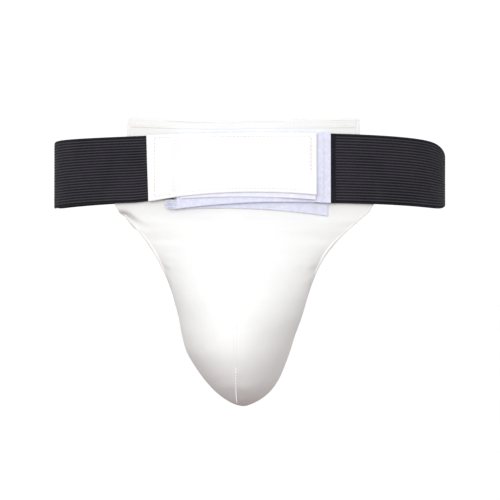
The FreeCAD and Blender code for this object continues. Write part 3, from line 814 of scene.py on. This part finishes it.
# The front below the wings: height, half width, depth of the middle and of the rim, how far the
# section has turned from a flat sheet, 0, into a bowl, 1, and how far it hangs to the left.
BOWL = np.array([
    (-37.0, 113.0, -96.6, -76.0, 0.00, -0.4),
    (-44.0, 104.7, -97.2, -79.0, 0.00, -0.6),
    (-59.0, 89.4, -102.0, -83.0, 0.12, 0.5),
    (-73.0, 78.2, -111.5, -84.5, 0.35, 1.7),
    (-87.0, 69.7, -121.5, -84.6, 0.65, 1.9),
    (-101.0, 63.6, -130.0, -84.0, 0.90, 1.9),
    (-115.0, 59.0, -137.0, -82.3, 1.00, 1.9),
    (-130.0, 54.8, -141.8, -80.0, 1.00, 2.2),
    (-147.0, 50.2, -144.3, -75.8, 1.00, 3.9),
    (-161.0, 46.2, -143.6, -71.4, 1.00, 4.4),
    (-175.0, 39.8, -138.4, -64.8, 1.00, 3.2),
    (-190.0, 31.0, -126.5, -57.0, 1.00, 1.5),
    (-200.0, 22.6, -112.5, -51.9, 1.00, 0.7),
    (-206.0, 14.6, -96.0, -48.6, 1.00, 0.3),
    (-209.6, 7.0, -80.0, -46.8, 1.00, 0.1),
]) * np.array([MM, MM, MM, MM, 1, MM])


def front_rows(step):
    """The BOWL columns for each row, from the tip to the apron's top."""
    knots = walked(BOWL[:, [0, 2]])
    at = ruler(0, knots[-1], step)
    lower = smooth_curve(knots, BOWL, at)
    lower[:, 4] = np.clip(lower[:, 4], 0, 1)
    heights = np.concatenate([ruler(WING_CORNER, WING_DROP, step)[1:],
                              ruler(WING_DROP, APRON_TOP, step)[1:]])
    half = np.interp(heights, [WING_CORNER, WING_DROP, 30 * MM, APRON_TOP],
                     np.array([112.5, 117.0, 104.5, 104.0]) * MM)
    flat = np.zeros(len(heights))
    hang = -0.4 * MM * smooth_step(-heights, 20 * MM, 37 * MM)
    upper = np.stack([heights, half, flat - APRON_FACE, flat - 76 * MM, flat, hang], axis=-1)
    return np.concatenate([lower[::-1], upper])


def apron_sag(across, height):
    """The apron's top edge hangs between its corners, of which the left one stands higher."""
    reach = across / (104 * MM)
    drop = np.where(across < 0, -4.6 + 6.6 * reach ** 2, -4.0 + 2.6 * reach ** 2) * MM
    return drop * smooth_step(height, 20 * MM, APRON_TOP)


def front_grid(sides, rows):
    """Points of the front face. sides runs from -1, the left edge, to 1, the right edge."""
    height, half, middle, rim, bowl, hang = (rows[:, k][:, None] for k in range(6))
    turn = sides[None] * math.pi / 2
    across = half * np.sin(turn) - hang
    sheet_y = -APRON_FACE * np.sqrt(1 - (across / (APRON_FACE + STRETCH)) ** 2)
    rimmed = smooth_step(-height, 50 * MM, 110 * MM)
    base = (1 - rimmed) * sheet_y + rimmed * rim
    centre = -(1 - rimmed) * APRON_FACE + rimmed * rim
    power = 2.2 - 1.2 * bowl
    y = base - (centre - middle) * np.clip(np.cos(turn), 0, 1) ** power
    inside = half - abs(across + hang)
    turned = smooth_step(-height, 34.4 * MM, 39.2 * MM) * (1 - smooth_step(-height, 39.2 * MM, 54.0 * MM))
    curl = smooth_step(inside, 12 * MM, 1.5 * MM) * turned * (across < 0)
    return together(across, y + LEFT_WING_CURL * curl, height + apron_sag(across, height))


def front_sides(count, seam=True):
    sides = np.linspace(-1, 1, count)
    if seam:
        sides = np.concatenate([sides[abs(sides) > 0.07], np.linspace(-0.07, 0.07, 29)])
    return np.unique(sides)


def inset(grid, depth):
    """The grid moved behind the front face by depth, one number or one for each point."""
    return grid - normals_of(grid) * np.asarray(depth)[..., None]


SEAM_MIDDLE = -0.9 * MM


def front_relief(points):
    """The centre seam, the welt below it and slight fullness of the cover."""
    x, z = points[..., 0], points[..., 2]
    seam_zone = smooth_step(-z, 104 * MM, 112 * MM) * (1 - smooth_step(-z, 168 * MM, 175 * MM))
    seam = groove(x + 2.3 * MM, 0.5 * MM, 0.35 * MM) + groove(x - 0.5 * MM, 0.5 * MM, 0.3 * MM)
    ridge = 0.25 * MM * hump(x, SEAM_MIDDLE, 1.2 * MM)
    waves = 0.6 * MM * np.sin(x / (17 * MM) + 0.8) * np.sin(z / (11 * MM) + x / (33 * MM))
    upper_left = smooth_step(z, 30 * MM, 42 * MM) * (0.3 + 0.7 * smooth_step(-x, -10 * MM, 60 * MM))
    full = 0.25 * MM * np.sin(z / (31 * MM) + x / (24 * MM)) * np.cos(x / (21 * MM) - z / (60 * MM))
    pouch = smooth_step(-z, 60 * MM, 95 * MM)
    tip = smooth_step(-z, 176 * MM, 190 * MM)
    creases = 0.45 * MM * np.sin(z / (3.4 * MM) + 0.5 * np.sin(x / (4 * MM))) * hump(x, 0, 13 * MM)
    return (seam + ridge) * seam_zone + waves * upper_left + full * pouch * (1 - tip) + creases * tip


def front_uv(grid):
    """Metres across and up the front face, measured along it."""
    steps = np.linalg.norm(np.diff(grid, axis=1), axis=-1)
    across = np.concatenate([np.zeros((len(grid), 1)), np.cumsum(steps, axis=1)], axis=1)
    middle = across.shape[1] // 2
    return together(across - across[:, [middle]], walked(grid[:, middle])[:, None])


def front_layer(name, near, far, paint, node, count, step, relief=None, reach=1.0, swell=(1, 1)):
    """One layer of the front, between two depths behind the face. swell is how much of the cloth's
    fullness its front and back take up."""
    rows = front_rows(step)
    sides = front_sides(count, relief is not None) * reach
    grid = front_grid(sides, rows)
    full = fullness(rows, sides)
    relief_depth = relief(grid) if relief else 0.0
    front = inset(grid, near - full * swell[0] - relief_depth)
    back = inset(grid, far - full * swell[1])
    piece = sheet_between(name, front, back, front_uv(grid))
    return finish_piece(piece, paint, node)


# The cloth simulation: its grid, its frames, how hard the front is filled, the cloth's slack, and
# the most that the front may swell.
CLOTH_STEP = 4.5 * MM
CLOTH_FRAMES = 20
CLOTH_PRESSURE = 20
CLOTH_SLACK = 0.0035
MOST_FULL = 1.8 * MM


def settled_fullness():
    """How far each place of the padded front swells, as heights, sides and depths, after the cover
    and its lining have been sewn down at the edge, the centre seam and the belt and then filled."""
    rows = front_rows(CLOTH_STEP)
    sides = np.linspace(-1, 1, 55)
    grid = front_grid(sides, rows)
    back = inset(grid, COVER + FOAM)
    body = sheet_between("cover_settling", grid, back)
    x, z = grid[..., 0], grid[..., 2]
    held = np.zeros(grid.shape[:2], dtype=bool)
    held[0] = held[-1] = held[:, 0] = held[:, -1] = True
    held |= z > -42 * MM
    held |= (abs(x - SEAM_MIDDLE) < 1.4 * MM) & (z > -172 * MM) & (z < -104 * MM)
    pins = body.vertex_groups.new(name="sewn")
    pins.add([int(k) for k in np.flatnonzero(held)], 1.0, "REPLACE")
    behind = range(held.size, len(body.data.vertices))
    pins.add(list(behind), 0.9, "REPLACE")
    cloth = body.modifiers.new("cloth", "CLOTH")
    setup = cloth.settings
    setup.quality = 6
    setup.mass = 0.25
    setup.tension_stiffness = setup.compression_stiffness = 8
    setup.shear_stiffness = 4
    setup.bending_stiffness = 0.2
    setup.effector_weights.gravity = 0
    setup.use_pressure = True
    setup.uniform_pressure_force = CLOTH_PRESSURE
    setup.shrink_min = -CLOTH_SLACK
    setup.vertex_group_mass = "sewn"
    cloth.collision_settings.use_collision = False
    scene = bpy.context.scene
    cloth.point_cache.frame_start = 1
    cloth.point_cache.frame_end = CLOTH_FRAMES
    for frame_number in range(1, CLOTH_FRAMES + 1):
        scene.frame_set(frame_number)
    bpy.context.view_layer.objects.active = body
    bpy.ops.object.modifier_apply(modifier=cloth.name)
    settled = np.zeros(len(body.data.vertices) * 3)
    body.data.vertices.foreach_get("co", settled)
    moved = settled.reshape(-1, 3)[:held.size].reshape(grid.shape) - grid
    bpy.data.objects.remove(body)
    scene.frame_set(1)
    depth = (moved * normals_of(grid)).sum(-1)
    return rows[:, 0], sides, MOST_FULL * np.tanh(depth / MOST_FULL)


FULL_HEIGHTS, FULL_SIDES, FULL_DEPTHS = settled_fullness()


def fullness(rows, sides):
    """The settled cover's swelling at other rows and sides."""
    along = np.stack([np.interp(sides, FULL_SIDES, line) for line in FULL_DEPTHS])
    return np.stack([np.interp(rows[:, 0], FULL_HEIGHTS, line) for line in along.T], axis=-1)


def front_panel():
    cover = front_layer("front_panel", 0.0, COVER, "coated_fabric", "front_cover", 97, 2 * MM,
                        front_relief)
    foam = front_layer("foam_core", FOAM_DEPTH, FOAM_DEPTH + FOAM, "foam", "foam_pad", 61, 4 * MM,
                       reach=0.995, swell=(1, 0))


def apron_lining():
    rows = front_rows(3 * MM)
    rows = rows[rows[:, 0] > -118 * MM]
    grid = front_grid(front_sides(81, False) * 0.99, rows)
    piece = sheet_between("back_lining", inset(grid, LINING_DEPTH),
                          inset(grid, LINING_DEPTH + LINING), front_uv(grid))
    finish_piece(piece, "lining_cloth", "apron_lining")


def border_loop(grid, normal, step, rounds):
    """The grid's border as an even closed loop, with the directions out of the face, along the loop
    and sideways. Each round softens the corners."""
    index = np.arange(grid.shape[0] * grid.shape[1]).reshape(grid.shape[:2])
    order = np.array([here for here, _ in border_of(index)])
    order = np.append(order, order[0])
    points, normals = grid.reshape(-1, 3)[order], normal.reshape(-1, 3)[order]
    steps = walked(points)
    at = np.linspace(0, steps[-1], int(steps[-1] / step), endpoint=False)
    loop, out = read_at(at, steps, points), read_at(at, steps, normals)
    for _ in range(rounds):
        loop = (np.roll(loop, 1, axis=0) + 2 * loop + np.roll(loop, -1, axis=0)) / 4
        out = (np.roll(out, 1, axis=0) + 2 * out + np.roll(out, -1, axis=0)) / 4
    out = unit(out)
    tangent = unit(np.roll(loop, -1, axis=0) - np.roll(loop, 1, axis=0))
    return loop, out, tangent, unit(np.cross(tangent, out))


CUP_TOP = -61 * MM
CUP_LOW = -197 * MM
CUP_HALF = 60 * MM


def cup_grid(step, count):
    """The cup's share of the front face: narrower than it, with rounded ends."""
    rows = front_rows(step)
    rows = rows[(rows[:, 0] < CUP_TOP) & (rows[:, 0] > CUP_LOW)]
    height, half = rows[:, 0], rows[:, 1]
    upper = 0.55 + 0.45 * rounded(CUP_TOP - height, 26 * MM)
    lower = 0.35 + 0.65 * rounded(height - CUP_LOW, 12 * MM)
    cup_half = np.minimum(CUP_HALF * upper, (half - 2 * MM) * lower)
    limit = 2 / math.pi * np.arcsin(np.clip(cup_half / half, 0, 1))
    sides = np.linspace(-1, 1, count)
    return np.stack([front_grid(sides * k, row[None])[0] for k, row in zip(limit, rows)])


VENT_RADIUS = 3 * MM
VENT_PITCH = 17 * MM
VENT_MIDDLE = -120 * MM


def cup_vents(grid):
    """Moves the grid's points onto the rims of the cup's round vents, and says which cells are open."""
    x, z = grid[..., 0], grid[..., 2]
    grid = grid.copy()
    holes = np.zeros((len(grid) - 1, len(grid[0]) - 1), dtype=bool)
    for across in (-1, 0, 1):
        for up in (-1, 0, 1):
            off = np.stack([x - across * VENT_PITCH, z - VENT_MIDDLE - up * VENT_PITCH], axis=-1)
            far = np.linalg.norm(off, axis=-1)
            inside = far < VENT_RADIUS
            opened = inside[:-1, :-1] & inside[:-1, 1:] & inside[1:, 1:] & inside[1:, :-1]
            on_hole = np.zeros(inside.shape, dtype=bool)
            for rows in (slice(None, -1), slice(1, None)):
                for columns in (slice(None, -1), slice(1, None)):
                    on_hole[rows, columns] |= opened
            rim = on_hole.copy()
            rim[1:-1, 1:-1] &= ~(opened[:-1, :-1] & opened[:-1, 1:] & opened[1:, 1:] & opened[1:, :-1])
            shift = off * (VENT_RADIUS / np.maximum(far, 0.1 * MM) - 1)[..., None]
            grid[rim, 0] += shift[rim, 0]
            grid[rim, 2] += shift[rim, 1]
            holes |= opened
    return grid, holes


def cup():
    unpierced = cup_grid(1.3 * MM, 131)
    normal = normals_of(unpierced)
    pierced, holes = cup_vents(unpierced)
    shell = sheet_between("hard_cup", pierced - normal * (LINING_DEPTH + 0.05 * MM),
                          pierced - normal * (LINING_DEPTH + SHELL), front_uv(unpierced), holes)
    edit = bmesh.new()
    edit.from_mesh(shell.data)
    bmesh.ops.delete(edit, geom=[point for point in edit.verts if not point.link_faces], context="VERTS")
    edit.to_mesh(shell.data)
    edit.free()
    grid = cup_grid(3 * MM, 61)
    uv = front_uv(grid)
    finish_piece(shell, "cup_plastic", "cup_shell")
    lining = sheet_between("cup_inner_lining", inset(grid, CUP_LINING_DEPTH),
                           inset(grid, CUP_LINING_DEPTH + LINING), uv)
    finish_piece(lining, "lining_cloth", "cup_lining")
    back = inset(grid, LINING_DEPTH + SHELL / 2 + LINING / 2)
    loop, _, tangent, side = border_loop(back, normals_of(grid), 2 * MM, 8)
    bead = swept("cup_gasket", loop, side, np.cross(side, tangent), oval(2.2 * MM, 3.0 * MM), closed=True)
    finish_piece(bead, "gasket_rubber", "cup_rim_gasket")


def edge_binding():
    rows = front_rows(2 * MM)
    grid = front_grid(front_sides(161, False), rows)
    thick = COVER + FOAM + LINING + 2 * PLAY
    loop, out, _, side = border_loop(grid, normals_of(grid), 1.5 * MM, 3)
    centre = loop - out * thick / 2 - side * 1.4 * MM
    outline = oval(1.9 * MM, thick / 2 + 0.35 * MM, 20, 0.8)
    tape = swept("binding_tape_edge", centre, side, out, outline, closed=True)
    finish_piece(tape, "binding_tape", "edge_binding")


HEM_HALF = 101 * MM


def top_hem():
    across = ruler(-HEM_HALF, HEM_HALF, 2 * MM, 0.6 * MM)
    share = ruler(0, 1, 0.15, 0.07)
    bottom, top = high("top_hem")[2] - 9 * MM, high("top_hem")[2] - 1.0 * MM
    height = bottom + (top - bottom) * share[:, None] + 0 * across[None]
    height = height + apron_sag(across[None], height)
    middle = on_belt(across, height, APRON_FACE + 0.1 * MM)
    middle = middle + normals_of(middle) * front_relief(middle)[..., None]
    edge = np.minimum(from_ends(across, -HEM_HALF, HEM_HALF), from_ends(share, 0, 1)[:, None] * 8 * MM)
    piece = sheet_of("top_hem_fold", middle, 0.16 * MM * rounded(edge, 0.8 * MM),
                     together(across, height))
    finish_piece(piece, "coated_fabric", "top_hem")
    x = ruler(-99 * MM, 99 * MM, 1 * MM)
    z = bottom + 3 * MM + apron_sag(x, bottom + 3 * MM)
    line = on_belt(x, z, APRON_FACE + 0.2 * MM)
    line = line + belt_normal(line) * front_relief(line)[..., None]
    stitches("hem_stitches", [(line, belt_normal(line))], "thread", "hem_stitch", length=FINE_STITCH,
             thick=0.32 * MM)


DART_TOP = -171 * MM
DART_LOW = -205 * MM


def dart():
    """The lapped strip that closes the pouch's centre dart below the seam."""
    rows = front_rows(1.0 * MM)
    rows = rows[(rows[:, 0] < DART_TOP) & (rows[:, 0] > DART_LOW)]
    columns = np.linspace(-1, 1, 11)
    narrowing = smooth_step(rows[:, 0], DART_TOP, DART_TOP - 15 * MM)
    half_widths = (2.9 - 1.3 * narrowing) * MM
    grid = []
    for row, half_width in zip(rows, half_widths):
        middle_x = -1.2 * MM - 2.0 * MM * (row[0] - DART_TOP) / (DART_LOW - DART_TOP)
        turn = np.arcsin(np.clip((middle_x + row[5] + columns * half_width) / row[1], -1, 1))
        grid.append(front_grid(turn * 2 / math.pi, row[None])[0])
    grid = np.array(grid)
    ends = from_ends(np.arange(len(rows)), 0, len(rows) - 1)[:, None] * MM
    edge = np.minimum((1 - abs(columns))[None] * half_widths[:, None], ends)
    lift = (-0.75 * MM + 0.5 * MM * smooth_step(ends, 0, 5 * MM)) * np.ones(len(columns))[None]
    normal = normals_of(grid)
    piece = sheet_of("dart_tape", grid + normal * lift[..., None], 0.45 * MM * rounded(edge, 0.6 * MM),
                     front_uv(grid))
    finish_piece(piece, "coated_fabric", "dart_strip")
    row = grid[::-1, 5] + (normal * (lift + 0.75 * MM)[..., None])[::-1, 5]
    stitches("dart_stitches", [(row, normal[::-1, 5])], "thread", "dart_stitch", pitch=2.8 * MM,
             length=1.5 * MM, thick=0.6 * MM)


# --- crotch tail and leg straps --------------------------------------------------------------

LEG_PATH = np.array([
    (7.6, -34.0, -204.4),
    (9.0, -24.0, -201.0),
    (12.2, -10.0, -188.0),
    (20.2, 22.0, -150.0),
    (33.6, 58.0, -90.0),
    (49.4, 85.2, -32.0),
    (54.0, 92.0, -13.0),
    (54.6, 92.7, -3.0),
    (55.0, 92.7, 13.0),
]) * MM
LEG_HALF = 10 * MM


def ribbon(name, path, half_width, thick, ribs, slope):
    """A ribbed strap along a path. Its width runs along X, turning by slope as it nears the belt."""
    steps = walked(path)
    at = ruler(0, steps[-1], 4 * MM, thick)
    centre = smooth_curve(steps, path, at)
    width = 2 * half_width
    across = ruler(-half_width, half_width, width / ribs / 4, thick)
    level = together(1.0, slope * smooth_step(centre[:, 2], -70 * MM, -16 * MM), 0.0)
    along = unit(np.gradient(centre, axis=0))
    side = unit(level - along * (level * along).sum(-1, keepdims=True))
    gather = 0.62 + 0.38 * smooth_step(at, 8 * MM, 34 * MM)
    middle = centre[:, None] + side[:, None] * across[None, :, None] * gather[:, None, None]
    edge = np.minimum(half_width - abs(across), from_ends(at, 0, steps[-1])[:, None])
    half = thick / 2 * rounded(edge, thick / 2)
    place = across + half_width
    relief = 0.18 * MM * abs(np.sin(math.pi * ribs * place / width)) * np.ones((len(at), 1))
    return sheet_of(name, middle, half, together(at[:, None], place), relief, relief), steps[-1]


ANCHOR_HALF = 15 * MM                   # of the patches that sew the straps to the belt
ANCHOR_LOW = -6 * MM
ANCHOR_TOP = 16 * MM
ANCHOR_ROWS = [(-12, -3), (12, -3), (12, 13), (-12, 13), (-12, -3)]   # their sewn box, in millimetres


def belt_behind(across, height, depth):
    """A point inside the belt's back half. depth is the short half axis there."""
    return together(across, depth * np.sqrt(1 - (across / (depth + STRETCH)) ** 2), height)


def leg_straps():
    for side, sign in (("left", -1), ("right", 1)):
        path = LEG_PATH * np.array([sign, 1, 1])
        strap, length = ribbon(f"{side}_leg_webbing", path, LEG_HALF, 1.5 * MM, ribs=9,
                               slope=-0.168 * sign)
        finish_piece(strap, "leg_elastic", f"{side}_leg_strap")
        middle = sign * 55 * MM
        x = ruler(middle - ANCHOR_HALF, middle + ANCHOR_HALF, 2 * MM, 1 * MM)
        grid_x, grid_z = np.meshgrid(x[::-1], ruler(ANCHOR_LOW, ANCHOR_TOP, 2 * MM, 1 * MM))
        depth = BELT - BELT_THICK - 3.2 * MM
        edge = np.minimum(ANCHOR_HALF - abs(grid_x - middle), from_ends(grid_z, ANCHOR_LOW, ANCHOR_TOP))
        patch = sheet_of(f"{side}_anchor_patch", belt_behind(grid_x, grid_z, depth),
                         0.6 * MM * rounded(edge, 0.6 * MM), together(grid_x, grid_z))
        finish_piece(patch, "coated_fabric", f"{side}_strap_anchor")
        rows = []
        for (x0, z0), (x1, z1) in zip(ANCHOR_ROWS, ANCHOR_ROWS[1:]):
            line = belt_behind(middle + np.linspace(x0, x1, 30) * MM, np.linspace(z0, z1, 30) * MM,
                               depth - 0.75 * MM)
            rows.append((line, -belt_normal(line)))
        stitches(f"{side}_anchor_stitches", rows, "thread")


def crotch_tail():
    """The tongue below the tip and the patch that clamps the straps. A station is how far back, how
    high and how wide to each side."""
    stations = np.array([(-78.5, -208.0, 2.0), (-72.0, -208.2, 5.0), (-62.0, -208.4, 6.6),
                         (-52.0, -208.4, 8.0), (-40.0, -206.4, 11.5), (-28.0, -203.6, 16.5),
                         (-18.0, -201.4, 19.6), (-12.0, -200.2, 20.0)]) * MM
    knots = walked(stations[:, :2])
    at = ruler(0, knots[-1], 1.5 * MM, 1 * MM)
    y, z, half_width = smooth_curve(knots, stations, at).T
    columns = ruler(-1, 1, 0.07, 0.06)
    x = columns[::-1] * half_width[:, None]
    grid = together(x, y[:, None], z[:, None])
    edge = np.minimum((1 - abs(columns[::-1])) * half_width[:, None],
                      from_ends(at, 0, knots[-1])[:, None])
    uv = together(x, at[:, None])
    tail = sheet_of("crotch_tongue", grid, 1.2 * MM * rounded(edge, 1.2 * MM), uv)
    finish_piece(tail, "coated_fabric", "crotch_tail")
    patch_rows = at > knots[5]
    patch_grid = (grid - normals_of(grid) * 2.2 * MM)[patch_rows] * np.array([0.93, 1, 1])
    patch_half = np.full(patch_grid.shape[:2], 0.5 * MM)
    patch = sheet_of("tail_cover_patch", patch_grid, patch_half, uv[patch_rows])
    finish_piece(patch, "binding_tape", "tail_patch")


def care_label():
    left, right = -12 * MM, 12 * MM
    depth = APRON_FACE - LINING_DEPTH - LINING - 0.4 * MM
    piece = layer("blank_label", left, right, 4 * MM, 34 * MM, depth, 0.3 * MM, step=2 * MM)
    finish_piece(piece, "label_tape", "care_label")


# --- stage, lights and camera ----------------------------------------------------------------

WORLD_STRENGTH = 1.08


def stage():
    size = 60.0
    floor_z = TIP - 1.2
    points = [(x * size, y * size, floor_z) for x, y in ((-1, -1), (1, -1), (1, 1), (-1, 1))]
    floor = mesh_object("studio_floor", points, [[0, 1, 2, 3]])
    paint = Paint("studio_white", 0.9)
    paint.colour(paint.ramp(paint.noise(0.8), (0.3, (0.95, 0.95, 0.95)), (0.7, (0.96, 0.96, 0.96))))
    floor.data.materials.append(paint.material)
    floor.visible_diffuse = False
    floor.visible_glossy = False


def world_light():
    """White from above and around, a darker and warmer light from well below."""
    world = bpy.data.worlds.new("studio")
    bpy.context.scene.world = world
    world.use_nodes = True
    tree = world.node_tree
    direction = tree.nodes.new("ShaderNodeTexCoord")
    split = tree.nodes.new("ShaderNodeSeparateXYZ")
    tree.links.new(direction.outputs["Generated"], split.inputs[0])
    share = tree.nodes.new("ShaderNodeMapRange")
    share.inputs["From Min"].default_value = -1.0
    tree.links.new(split.outputs[2], share.inputs["Value"])
    ramp = tree.nodes.new("ShaderNodeValToRGB")
    set_stops(ramp.color_ramp, [(0.0, (0.30, 0.245, 0.24)), (0.43, (0.47, 0.41, 0.40)),
                                (0.48, (1, 1, 1)), (1.0, (1, 1, 1))])
    tree.links.new(share.outputs[0], ramp.inputs[0])
    tree.links.new(ramp.outputs[0], tree.nodes["Background"].inputs["Color"])
    tree.nodes["Background"].inputs["Strength"].default_value = WORLD_STRENGTH


def area_light(name, place, aim, size, power):
    light = bpy.data.lights.new(name, "AREA")
    light.shape = "DISK"
    light.size = size
    light.energy = power
    item = bpy.data.objects.new(name, light)
    bpy.context.scene.collection.objects.link(item)
    item.location = place
    item.rotation_euler = (Vector(aim) - Vector(place)).to_track_quat("-Z", "Y").to_euler()


def camera():
    """A long lens a little below the belt, a few degrees round to the right, looking slightly up."""
    data = bpy.data.cameras.new("camera")
    item = bpy.data.objects.new("camera", data)
    bpy.context.scene.collection.objects.link(item)
    turn = math.radians(4.0)
    distance = 1.205
    data.sensor_width = 36
    data.lens = 90.8
    data.shift_x = 0.002
    item.location = (distance * math.sin(turn), -distance * math.cos(turn), -0.0933)
    item.rotation_euler = (math.radians(90 + 1.135), 0, turn)
    bpy.context.scene.camera = item


waist_elastic()
closure_tab()
right_strap()
elastic_end()
loop_patch()
front_panel()
apron_lining()
cup()
edge_binding()
top_hem()
dart()
leg_straps()
crotch_tail()
care_label()
stage()
world_light()
area_light("key", (-0.55, -2.05, 0.4), (0, -0.1, -0.08), 1.4, 19)
area_light("low fill", (0.9, -1.9, -0.35), (0, -0.1, -0.12), 1.2, 6)
area_light("back", (0.6, 1.8, 1.0), (0, 0, -0.05), 1.2, 12)
camera()
bpy.context.scene.view_settings.view_transform = "Standard"
